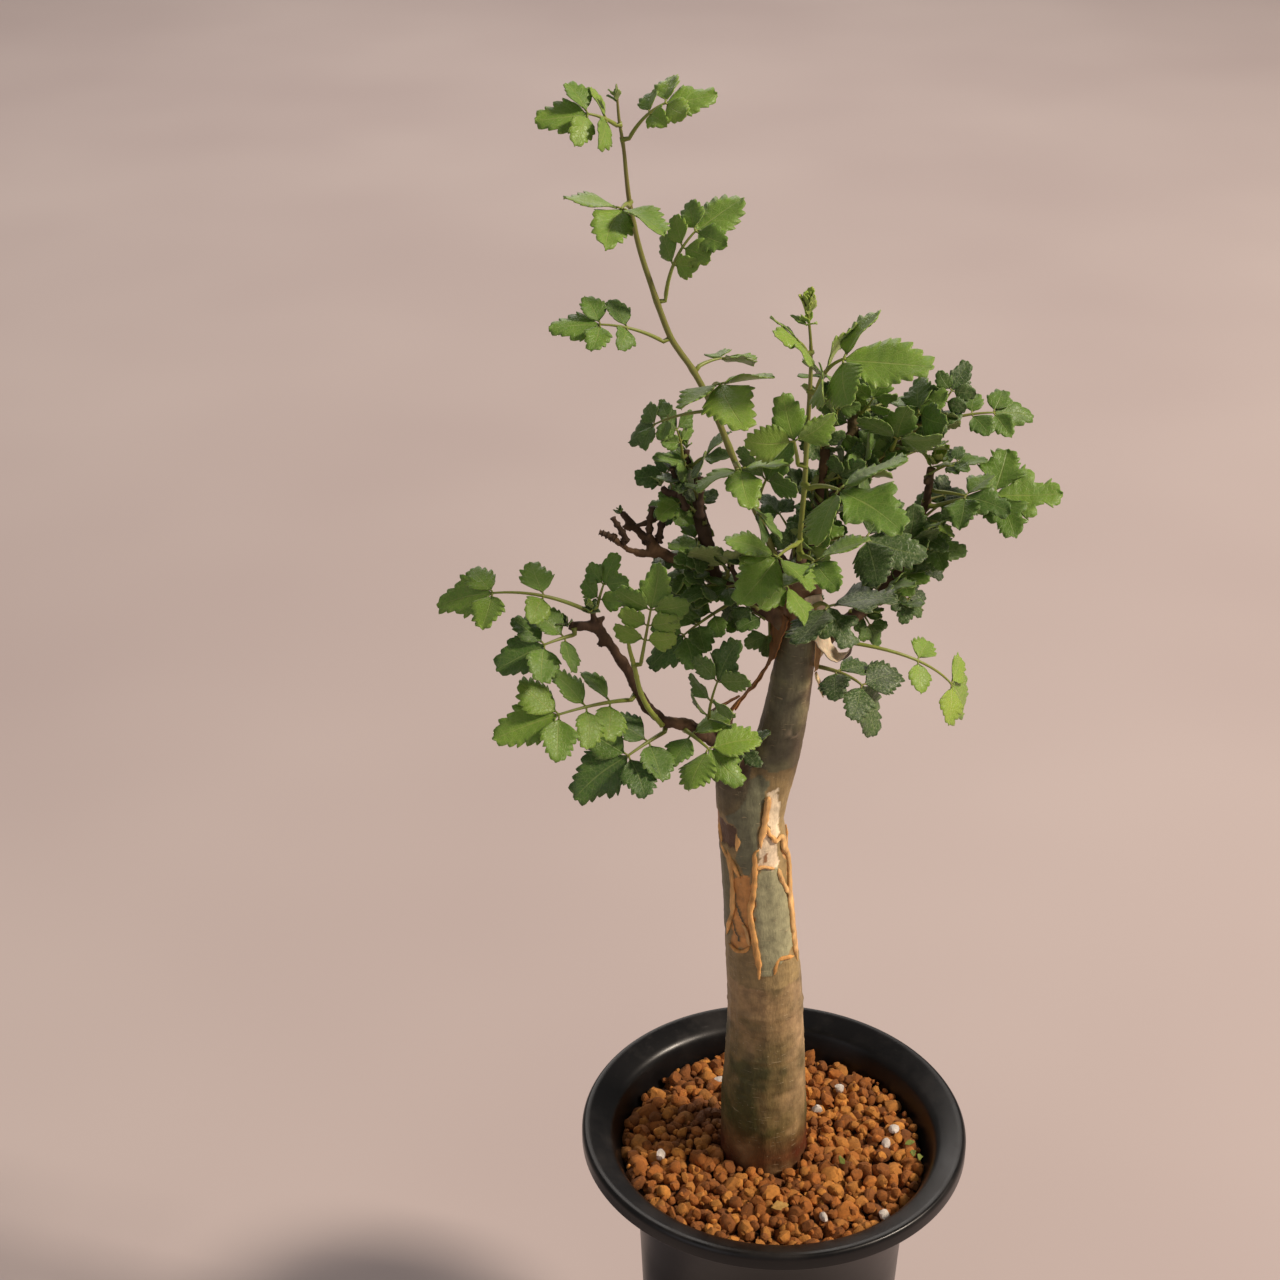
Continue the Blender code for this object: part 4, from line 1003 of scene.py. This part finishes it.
# Each leaf's habit: (pairs of side leaflets, leaflet length in mm, bare share of the stalk, age from 0
# young to 1 old, and how deeply its leaflets are lobed).
leafHabits = {
    "leader_leaf_1": (2, 8.0, 0.35, 0.42, 0.05),
    "leader_leaf_2": (2, 7.0, 0.30, 0.38, 0.05),
    "leader_leaf_3": (1, 11.0, 0.50, 0.40, 0.05),
    "leader_leaf_4": (3, 8.0, 0.30, 0.48, 0.04),
    "leader_leaf_5": (2, 7.5, 0.35, 0.60, 0.05),
    "leader_leaf_6": (1, 8.0, 0.30, 0.55, 0.05),
    "leader_leaf_7": (1, 10.5, 0.40, 0.42, 0.06),
    "leader_leaf_8": (2, 6.0, 0.40, 0.70, 0.06),
    "leader_leaf_9": (1, 11.0, 0.60, 0.50, 0.04),
    "leader_leaf_10": (1, 9.0, 0.30, 0.72, 0.05),
    "leader_leaf_11": (1, 9.0, 0.30, 0.75, 0.05),
    "upper_left_leaf_1": (2, 5.5, 0.30, 0.66, 0.05),
    "upper_left_leaf_2": (1, 6.0, 0.30, 0.80, 0.05),
    "upper_left_leaf_3": (1, 8.0, 0.30, 0.78, 0.05),
    "upper_left_leaf_4": (1, 7.0, 0.30, 0.72, 0.05),
    "dark_limb_leaf_2": (3, 8.0, 0.30, 0.68, 0.06),
    "dark_limb_leaf_3": (1, 9.0, 0.30, 0.86, 0.06),
    "crown_leaf_1": (1, 11.0, 0.30, 0.52, 0.10),
    "crown_leaf_2": (1, 11.0, 0.40, 0.48, 0.04),
    "crown_leaf_3": (1, 12.0, 0.40, 0.50, 0.04),
    "crown_leaf_4": (1, 15.0, 0.40, 0.92, 0.24),
    "right_leaf_1": (1, 12.0, 0.40, 0.84, 0.06),
    "right_leaf_2": (1, 8.0, 0.30, 0.86, 0.05),
    "right_leaf_3": (2, 9.0, 0.40, 0.30, 0.14),
    "right_leaf_4": (1, 11.0, 0.45, 0.58, 0.26),
    "right_leaf_5": (1, 9.0, 0.30, 0.64, 0.16),
    "right_leaf_6": (1, 6.0, 0.40, 0.40, 0.10),
    "stem_leaf": (2, 10.0, 0.48, 0.94, 0.08),
    "upper_right_leaf_1": (2, 7.0, 0.35, 0.60, 0.04),
    "upper_right_leaf_2": (1, 9.0, 0.35, 0.58, 0.05),
    "upper_right_leaf_3": (1, 10.0, 0.20, 0.62, 0.05),
    "upper_right_leaf_4": (1, 9.0, 0.35, 0.66, 0.05),
    "upper_right_leaf_5": (1, 9.0, 0.20, 0.70, 0.05),
    "middle_leaf_1": (1, 7.0, 0.40, 0.58, 0.05),
    "middle_leaf_2": (2, 5.5, 0.30, 0.50, 0.05),
    "middle_leaf_3": (1, 8.0, 0.40, 0.62, 0.05),
    "front_leaf_1": (2, 12.0, 0.25, 0.44, 0.06),
    "front_leaf_2": (1, 8.0, 0.30, 0.45, 0.04),
    "front_leaf_3": (1, 10.0, 0.35, 0.48, 0.04),
    "front_leaf_4": (1, 14.0, 0.40, 0.54, 0.16),
    "low_leaf_1": (2, 9.0, 0.28, 0.50, 0.08),
    "low_leaf_2": (2, 9.5, 0.30, 0.66, 0.06),
    "low_leaf_3": (3, 10.5, 0.20, 0.50, 0.07),
    "low_leaf_4": (2, 11.0, 0.35, 0.70, 0.08),
    "low_leaf_5": (3, 8.0, 0.15, 0.76, 0.08),
    "low_leaf_6": (3, 8.0, 0.30, 0.46, 0.05),
    "low_leaf_7": (2, 11.0, 0.30, 0.48, 0.06),
    "low_leaf_8": (1, 7.0, 0.30, 0.90, 0.05),
    "low_leaf_9": (2, 6.5, 0.35, 0.54, 0.05),
}

for number, (name, (pairs, size, bare, age, lobed)) in enumerate(leafHabits.items()):
    foot, tip, up, arch = leafPlace(name)
    rng = np.random.default_rng(100 + number)
    made = compoundLeaf(foot, tip, up, arch, pairs, size, age, rng, bare, lobed)
    makePiece(name + "_leaflets", made, [leafSkin, stemSkin], [name])
report(f"{len(leafHabits)} leaves grown")


# Small leaves that fill the crown: they stand on thin wood, apart from each other, and point outwards

crownFill = {
    "count": 84,
    "low": (-24.0, -4.0, 160.0),  # the room the small leaves start in, with heights above the soil
    "high": (34.0, 16.0, 216.0),
    "apart": 3.0,
    "middle": np.array([4.0, 3.0, 184.0]),
    "groups": 4,
}


def makeCrownFill():
    # Spots on the limbs in random order, kept where they stand apart from the spots before them. Each
    # leaf points away from the crown's middle, scattered.
    rng = np.random.default_rng(23)
    low, high = (np.array(crownFill[key]) + (0, 0, soilLevel) for key in ("low", "high"))
    inside = ((woodPoints > low) & (woodPoints < high)).all(axis=1)
    usable = woodPoints[(woodLimb > 0.75) & inside]
    middle = crownFill["middle"] + (0, 0, soilLevel)
    spots = []
    for spot in usable[rng.permutation(len(usable))[:4000]]:
        if len(spots) < crownFill["count"]:
            if all(np.linalg.norm(spot - other) > crownFill["apart"] for other in spots):
                spots.append(spot)
    spots.sort(key=lambda spot: math.atan2(spot[1] - middle[1], spot[0] - middle[0]))
    share = math.ceil(len(spots) / crownFill["groups"])
    for group in range(crownFill["groups"]):
        made = []
        for spot in spots[group * share : (group + 1) * share]:
            outward = unit((spot - middle) * (0.7, 1.0, 0.6) + rng.normal(size=3) * (9, 10, 6) + (0, 0, 5))
            reach = rng.uniform(8, 16)
            size = rng.uniform(4.2, 7.2)
            up = unit(np.array([0.0, -0.3, 1.0]) + rng.normal(size=3) * 0.3)
            if abs(up @ outward) > 0.85:
                up = np.array([0.0, -1.0, 0.3])
            pairs = int(rng.integers(1, 3))
            age = float(np.clip(rng.normal(0.76, 0.13), 0.4, 0.98))
            arch = rng.uniform(1.0, 3.0)
            made += compoundLeaf(spot, spot + outward * reach, up, arch, pairs, size, age, rng)
        makePiece(f"crown_fill_{group + 1}", made, [leafSkin, stemSkin])
    report(f"{len(spots)} crown leaves grown")


makeCrownFill()


# Buds: tufts of tiny unopened leaflets

buds = [  # (x, y, height above the soil, way up, size, how many, age, spread)
    (-41.4, -12.0, 293.0, (-0.3, 0.0, 1.0), 4.0, 5, 0.62, 0.7),
    (-0.2, -18.0, 247.5, (0.0, 0.0, 1.0), 6.5, 8, 0.05, 0.28),
    (-0.2, -18.0, 245.5, (0.0, -0.2, 1.0), 5.5, 4, 0.3, 1.3),
    (-39.4, -16.2, 166.0, (-0.2, -0.2, 1.0), 4.5, 5, 0.15, 0.5),
    (33.3, 13.0, 198.0, (0.3, -0.3, 1.0), 7.0, 9, 0.10, 0.8),
    (-41.0, 7.0, 188.5, (-0.4, 0.0, 1.0), 3.0, 4, 0.7, 0.7),
    (-53.2, -15.0, 170.0, (-0.5, -0.3, 0.8), 4.5, 6, 0.9, 0.9),
    (-48.0, -14.5, 173.0, (0.0, -0.3, 1.0), 4.5, 7, 0.85, 1.0),
    (-48.5, -14.5, 174.0, (-0.1, 0.0, 1.0), 4.0, 3, 0.3, 0.25),
    (13.0, 8.0, 223.0, (0.1, -0.1, 1.0), 3.5, 4, 0.6, 0.6),
    (-25.7, 10.0, 204.0, (-0.1, 0.0, 1.0), 5.0, 6, 0.6, 0.9),
    (-31.4, 9.0, 195.0, (-0.4, 0.0, 1.0), 4.0, 5, 0.65, 0.8),
]


def makeBuds():
    # Leaflets round each bud's axis, each turned 2.4 radians on from the last, and steeper and smaller.
    rng = np.random.default_rng(31)
    made = []
    for x, y, height, way, size, count, age, spread in buds:
        at = np.array([x, y, height + soilLevel])
        way = unit(np.array(way))
        for index in range(count):
            turn = index * 2.4 + rng.uniform(-0.3, 0.3)
            level = unit(np.cross(way, (0.3, 1.0, 0.2)))
            sideways = level * math.cos(turn) + np.cross(way, level) * math.sin(turn)
            ahead = unit(way + sideways * spread * (1.25 - index / count))
            own = size * rng.uniform(0.6, 1.0) * (1.0 - 0.3 * index / count)
            tone = float(np.clip(age + rng.uniform(-0.06, 0.12), 0.02, 1.0))
            shape = leaflet(own, own * 0.46, 4, rng, 0.08 * spread, 0.04, tone, rng.uniform())
            made.append(placeLeaflet(shape, at + way * index * 0.3, ahead, way - sideways * 0.8))
    makePiece("tip_buds", made, [leafSkin])


makeBuds()
report("buds made")


# Torn bark: raised edges that follow the trunk, and loose ribbons that hang from it

# Each edge is a line of (angle from the front, height above the soil) with its half-width in mm.
tornEdges = {
    "bark_strip_1": [
        (0.50, [(7, 103), (-1, 101.6), (-1, 97.4), (-6, 91), (-12, 86.7), (-16, 83.2), (-13, 78),
                (-10, 72.4), (-7, 67.2), (-8, 63.2)]),
        (0.55, [(-3, 117), (4, 116.6), (7, 115.3), (9, 112.3), (12, 108), (10, 103.2)]),
        (0.35, [(17, 109.4), (25, 107), (34, 105.7), (39, 103.7)]),
        (0.30, [(-1, 97.2), (14, 97.6), (33, 96.4)]),
        (0.38, [(-52, 101), (-37, 96.6), (-28, 93.6)]),
        (0.28, [(-20, 73.4), (-24, 78), (-30, 79.6)]),
    ],
    "bark_strip_2": [
        (0.62, [(39, 103.7), (52, 104.4), (59, 103.5), (60, 101), (73, 97), (67, 90), (62, 86),
                (60, 81.6), (61, 75), (63, 68.5), (68, 64.7)]),
        (0.40, [(40, 96), (45, 92.3), (59, 86.8)]),
        (0.35, [(16, 64.4), (22, 68.1), (32, 68.9), (57, 67.5)]),
        (0.40, [(100, 104), (112, 96), (118, 84), (122, 72)]),
        (0.40, [(150, 92), (146, 84), (142, 76)]),
    ],
    "bark_strip_3": [
        (0.50, [(-84, 111), (-66, 110.6), (-50, 109.9), (-31, 107.8), (-28, 105.1), (-32, 101.8)]),
        (0.45, [(-92, 119), (-88, 112), (-80, 106), (-69, 101.4)]),
        (0.45, [(-72, 101.8), (-66, 100.4), (-49, 98.1), (-45, 94), (-46, 87), (-49, 82.1), (-61, 77),
                (-70, 73)]),
        (0.30, [(-62, 71), (-45, 70.4), (-30, 71.2), (-20, 73)]),
        (0.40, [(-120, 110), (-128, 100), (-122, 90), (-130, 82)]),
        (0.40, [(-168, 118), (-160, 108), (-158, 100), (-170, 92)]),
    ],
}

# Each ribbon is a line of (angle, height, stand-off, half-width), in degrees and mm.
looseRibbons = {
    "bark_strip_4": [
        [(-62, 166, 0.1, 3.4), (-70, 161, 0.3, 3.6), (-78, 156, 0.3, 2.6), (-86, 151.5, 0.9, 1.2),
         (-86, 147, 2.4, 1.0), (-84, 143, 5.0, 0.9), (-82, 139.5, 7.0, 0.7)],
        [(-90, 149, 1.6, 0.6), (-86, 144, 4.2, 0.7), (-80, 140, 7.6, 0.6), (-74, 135, 8.6, 0.5)],
        [(-100, 141, 6.0, 0.4), (-92, 140, 8.6, 0.5), (-88, 139.6, 10.6, 0.4)],
    ],
    "bark_curl": [
        [(18, 172, 0.2, 2.2), (28, 167, 0.3, 2.6), (42, 162, 0.9, 2.4), (54, 158, 2.6, 2.2),
         (62, 155.4, 5.2, 2.1), (66, 156, 7.6, 2.0), (68, 158.8, 8.6, 1.7), (70, 161.4, 8.2, 1.2)],
        [(66, 150, 0.2, 0.8), (72, 146.6, 1.2, 0.9), (76, 143.4, 2.6, 0.7)],
        [(40, 170, 0.2, 1.5), (46, 163, 0.3, 1.7), (52, 157, 0.4, 1.4), (58, 151, 0.3, 0.8)],
    ],
}


def tornEdge(halfWidth, line, rng):
    # A low ridge that follows the trunk: an ellipse wide along the surface, its size wandering.
    rows = smoothPath(line, 10 * len(line))
    lift = 0.16 + 0.12 * noise(np.column_stack([rows * 0.2, rows[:, 0] * 0]), 1.0, 41)
    path = onTrunk(rows[:, 0], rows[:, 1], lift)
    turn = np.radians(rows[:, 0])
    outward = np.stack([np.sin(turn), -np.cos(turn), 0 * turn], axis=-1)
    along = np.linspace(0, 1, len(rows))
    taper = np.minimum(1.0, 0.25 + 6 * np.minimum(along, 1 - along))
    wander = 1.0 + 0.35 * noise(path, 2.2, 42) + 0.2 * noise(path, 0.9, 43)
    wide = 1.5 * halfWidth * taper * wander
    high = (0.25 + 0.6 * halfWidth) * taper * (1.0 + 0.3 * noise(path, 1.4, 44))
    made = tube(path, wide, high, 9, outward)
    shade = blendTo(colourOf(["#d89a50"]), "#edc285", rng.uniform(0.0, 0.8, 1))
    dark = 0.75 + 0.35 * ramp(noise(made["points"], 2.0, 45), -0.5, 0.6)
    made["tint"] = np.concatenate([shade * dark[:, None], np.zeros((len(dark), 1))], axis=1)
    return made


ribbonThickness = 0.28


def looseRibbon(line, inner, outer):
    # A curved ribbon: across it the points lie on a shallow arc, and it follows the line off the stem.
    rows = smoothPath(line, 14 * len(line))
    centre = onTrunk(rows[:, 0], rows[:, 1], rows[:, 2] + 0.35)
    turn = np.radians(rows[:, 0])
    sideways = np.stack([np.cos(turn), np.sin(turn), 0 * turn], axis=-1)
    tangent = unit(np.gradient(centre, axis=0))
    sideways = unit(sideways - tangent * (sideways * tangent).sum(axis=1, keepdims=True))
    normal = np.cross(sideways, tangent)
    across = np.linspace(-1, 1, 9)
    half = rows[:, 3] * (1.0 + 0.25 * noise(centre, 2.0, 51))
    ragged = 1.0 + 0.12 * noise(np.repeat(centre, 2, axis=0), 0.9, 52).reshape(-1, 2)
    width = half[:, None] * across * np.where(across < 0, ragged[:, :1], ragged[:, 1:])
    flat = centre[:, None] + width[..., None] * sideways[:, None]
    cup = -0.18 * half[:, None] * across**2 + 0.25 * noise(flat, 1.6, 53)
    top = flat + cup[..., None] * normal[:, None]
    made = sheet(top, ribbonThickness, normal[:, None])
    count = len(made["points"]) // 2
    tint = np.vstack([np.tile(colourOf([outer]), (count, 1)), np.tile(colourOf([inner]), (count, 1))])
    shade = 0.8 + 0.3 * ramp(noise(made["points"], 2.4, 54), -0.6, 0.6)
    made["tint"] = np.concatenate([tint * shade[:, None], np.zeros((len(tint), 1))], axis=1)
    return made


ribbonColours = {  # (side towards the stem, outer side) of each ribbon
    "bark_strip_4": [("#8a5f38", "#a9713c"), ("#a36b38", "#b8793f"), ("#a36b38", "#c08a50")],
    "bark_curl": [("#cdbba0", "#3a2a1d"), ("#d8c19a", "#e3c795"), ("#b58a5c", "#c9a070")],
}


def makeBark():
    # Each node of loose bark becomes its torn edges or its ribbons.
    rng = np.random.default_rng(61)
    for name, edges in tornEdges.items():
        made = [tornEdge(halfWidth, line, rng) for halfWidth, line in edges]
        makePiece(name + "_edges", made, [tornBark], [name])
    for name, ribbons in looseRibbons.items():
        made = [looseRibbon(line, *codes) for line, codes in zip(ribbons, ribbonColours[name])]
        makePiece(name + "_sheets", made, [tornBark], [name])


makeBark()
report("torn bark laid")


# Soil: a bed painted dark for the shade between the granules, and granules lying on it in layers

granules = {
    "faces": 3,  # quads along each side of a granule's six faces
    "layers": [  # (height over the soil level, least and greatest radius, spacing, how many to try)
        (-2.6, 1.9, 2.7, 1.55, 2500),
        (-0.9, 1.5, 2.6, 1.62, 2600),
        (0.35, 1.1, 1.9, 2.3, 1100),
        (0.1, 0.5, 0.95, 2.6, 1300),
    ],
    "wallGap": 0.7,
    "colours": ["#b4702f", "#a8662b", "#c28239", "#965a24", "#b87a36", "#855022"],
    # colour of the painted shade, which the same mask also makes less rough
    "shadeAndDamp": "#653a18",
    "white": [(-14, 26), (-31, -6), (13, 13), (34, 5), (12, -30), (31, -1), (28, -29), (20, 22)],
    "green": [(40, -7), (36, -3), (19, -11), (38, -5)],
}


def unitGranule(count):
    # A cube of count by count quads a side, blown up to a ball, its shared points merged.
    line = np.linspace(-1, 1, count + 1)
    u, v = np.meshgrid(np.tan(line * math.pi / 4), np.tan(line * math.pi / 4), indexing="ij")
    one = np.ones_like(u)
    sides = [(one, u, v), (-one, v, u), (v, one, u), (u, -one, v), (u, v, one), (v, u, -one)]
    points = np.concatenate([np.stack(s, axis=-1).reshape(-1, 3) for s in sides])
    size = (count + 1) ** 2
    faces = np.concatenate([gridFaces(count + 1, count + 1) + k * size for k in range(6)])
    merged, index = np.unique(np.round(points, 6), axis=0, return_inverse=True)
    faces = index.ravel()[faces]
    corner = merged[faces[:, 0]]
    normal = np.cross(merged[faces[:, 1]] - corner, merged[faces[:, 2]] - corner)
    inward = (normal * merged[faces].mean(axis=1)).sum(axis=1) < 0
    faces[inward] = faces[inward][:, ::-1]
    return unit(merged), faces


def granuleSpots(rng):
    # Darts thrown on a disc, kept where they clear the trunk, the wall and the granules of their layer.
    wall = float(innerRadius(soilLevel)) - granules["wallGap"]
    trunk, trunkRadius = axisAt(np.array([0.0]))
    kept = []
    for level, small, large, spacing, tries in granules["layers"]:
        layer = np.empty((0, 4))
        for _ in range(tries):
            radius = rng.uniform(small, large)
            far = wall - radius * 0.8
            distance, turn = far * math.sqrt(rng.uniform()), rng.uniform(0, tau)
            spot = np.array([distance * math.cos(turn), distance * math.sin(turn)])
            if np.linalg.norm(spot - trunk[0]) < trunkRadius[0] + 0.55 * radius:
                continue
            near = np.linalg.norm(layer[:, :2] - spot, axis=1) < spacing * 0.5 * (layer[:, 3] + radius)
            if not near.any():
                lifted = level + soilLevel + rng.uniform(-0.55, 0.55) - 1.1 * (distance / wall) ** 4
                layer = np.vstack([layer, [*spot, lifted, radius]])
        kept.append(layer)
    return np.vstack(kept)


def makeSoil():
    # Every granule is the same ball, swollen by noise, cut by planes, stretched and turned its own way.
    rng = np.random.default_rng(71)
    spots = granuleSpots(rng)
    for x, y in granules["white"]:
        spots = np.vstack([spots, [x, y, soilLevel + 1.0, 1.35]])
    count = len(spots)
    white = np.arange(count) >= count - len(granules["white"])
    ball, faces = unitGranule(granules["faces"])
    turn = np.linalg.qr(rng.normal(size=(count, 3, 3)))[0]
    turn *= np.sign(np.linalg.det(turn))[:, None, None]
    stretch = rng.uniform(0.78, 1.22, (count, 1, 3))
    lumps = noise(ball[None] + rng.uniform(0, 90, (count, 1, 3)), 0.85, 72)
    grown = ball[None] * (1.0 + 0.26 * lumps[..., None])
    # Broken faces: whatever stands beyond one of nine random planes is pressed back onto it.
    for _ in range(9):
        normal = unit(rng.normal(size=(count, 3)))
        beyond = np.einsum("npj,nj->np", grown, normal) - rng.uniform(0.58, 0.92, (count, 1))
        grown = grown - np.maximum(beyond, 0.0)[..., None] * normal[:, None] * 0.92
    points = np.einsum("nij,npj->npi", turn, grown * stretch) * spots[:, None, 3:] * 1.12 + spots[:, None, :3]
    points[..., 2] = np.minimum(points[..., 2], soilLevel + 3.4)
    allFaces = (faces[None] + (np.arange(count) * len(ball))[:, None, None]).reshape(-1, 4)
    palette = colourOf(granules["colours"])
    own = palette[rng.integers(0, len(palette), count)] * rng.uniform(0.82, 1.15, (count, 1))
    # Damp hollow behind the trunk's left side, and the deeper layers darker.
    # Painted shade: darker granules in the trunk's shadow behind its left side and in the deeper layers, with
    # the same mask making them less rough, as if damp.
    paintedTrunkShadow = np.exp(-(((spots[:, 0] + 15) / 9) ** 2 + ((spots[:, 1] - 12) / 8) ** 2))
    shadeAndDamp = np.clip(0.95 * paintedTrunkShadow + 0.35 * ramp(-(spots[:, 2] - soilLevel), 0.6, 2.6), 0, 1)
    own = own + (colourOf([granules["shadeAndDamp"]]) - own) * shadeAndDamp[:, None] * 0.85
    own[white] = colourOf(["#d8cfc6"])
    tint = np.concatenate([own, shadeAndDamp[:, None]], axis=1)
    tint = np.repeat(tint, len(ball), axis=0)
    floor = pot["floor"] + 0.4
    down = np.linspace(soilLevel - 3.2, floor, 12)
    outline = [(0.0, soilLevel - 3.2)] + [(float(innerRadius(z)) - 0.4, z) for z in down] + [(0.0, floor)]
    # The bed's dark brown is painted shade for the gaps between granules; its alpha also lowers the
    # roughness.
    bed = lathe(np.array(outline)[::-1], 96, tint=(*colourOf(["#3a2112"])[0], 0.6))
    crumbs = part(points, [allFaces], None, tint)
    makePiece("clay_granules", [bed, crumbs], [clay], ["soil"], sharp=38)
    report(f"{count} granules laid")


def makeLitter():
    # Bits that have dropped on the soil: a dry leaf fragment and green crumbs.
    rng = np.random.default_rng(81)
    made = []
    bits = [((-2, -28), 5.0, (0.9, 0.25, 0.1), "#b08a4a")]
    for spot in granules["green"]:
        bits.append((spot, 3.0, (rng.uniform(-1, 1), rng.uniform(-1, 1), 0.2), "#6f7a34"))
    for (x, y), size, ahead, code in bits:
        grid, uv, _ = leaflet(size, size * 0.45, 4, rng, 0.15, 0.1, 0.5, 0.5)
        up = unit(np.array([rng.uniform(-0.4, 0.4), -0.4, 1.0]))
        at = np.array([x, y, soilLevel + 2.3])
        made.append(placeLeaflet((grid, uv, (0, 0, 0, 0)), at, unit(np.array(ahead)), up))
        made[-1]["tint"] = np.broadcast_to(linear(code, 0.0), made[-1]["tint"].shape)
    makePiece("dropped_bits", made, [tornBark])


makeSoil()
makeLitter()
report("soil filled")


# Stage, light and camera


def makeStage():
    # A pale matt floor, a warm soft key from the upper right and a cool wide fill from the left.
    material, tree, shader = startMaterial("paleMattPaper", Roughness=0.9)
    place = addNode(tree, "ShaderNodeTexCoord").outputs["Object"]
    drift = cloud(tree, place, 3.0, 2.0)
    finishMaterial(tree, shader, grade(tree, drift, (0.3, "#b8aaa9"), (0.7, "#c2b5b3")))
    mesh = bpy.data.meshes.new("floor")
    reach = 6.0
    corners = [(-reach, -reach, 0), (reach, -reach, 0), (reach, reach, 0), (-reach, reach, 0)]
    mesh.from_pydata(corners, [], [(0, 1, 2, 3)])
    mesh.materials.append(material)
    floor = bpy.data.objects.new("floor", mesh)
    bpy.context.scene.collection.objects.link(floor)
    lights = [  # name, place, aimed at, size, watts, colour
        ("key", (1.95, -0.45, 1.95), (0.0, 0.0, 0.24), 0.45, 88.0, "#ffeedb"),
        ("fill", (-1.4, -1.5, 0.9), (0.0, 0.0, 0.2), 1.4, 5.0, "#f6f2fa"),
        ("back", (-0.2, 1.9, 1.3), (0.0, 0.0, 0.25), 1.2, 12.0, "#fff6ee"),
    ]
    for name, place, aim, size, watts, colour in lights:
        data = bpy.data.lights.new(name, "AREA")
        data.size = size
        data.energy = watts
        data.color = linear(colour)[:3]
        lamp = bpy.data.objects.new(name, data)
        back = unit(np.array(place) - np.array(aim))
        right = unit(np.cross((0, 0, 1), back))
        turn = np.column_stack([right, np.cross(back, right), back, place])
        lamp.matrix_world = Matrix([*turn.tolist(), (0, 0, 0, 1)])
        bpy.context.scene.collection.objects.link(lamp)
    world = bpy.data.worlds.new("room")
    world.use_nodes = True
    background = world.node_tree.nodes["Background"]
    background.inputs[0].default_value = linear("#efe6e0")
    background.inputs[1].default_value = 0.26
    bpy.context.scene.world = world
    bpy.context.scene.view_settings.view_transform = "Standard"


def makeCamera():
    # The tree stands a little right of the view's middle, seen from 28 degrees above.
    data = bpy.data.cameras.new("view")
    data.sensor_width = 36.0
    data.lens = 63.64
    camera = bpy.data.objects.new("view", data)
    camera.location = (-0.0366, -0.4833, 0.5312)
    camera.rotation_euler = (math.radians(90 - 28.39), 0, 0)
    bpy.context.scene.collection.objects.link(camera)
    bpy.context.scene.camera = camera


makeStage()
makeCamera()
report("stage set")
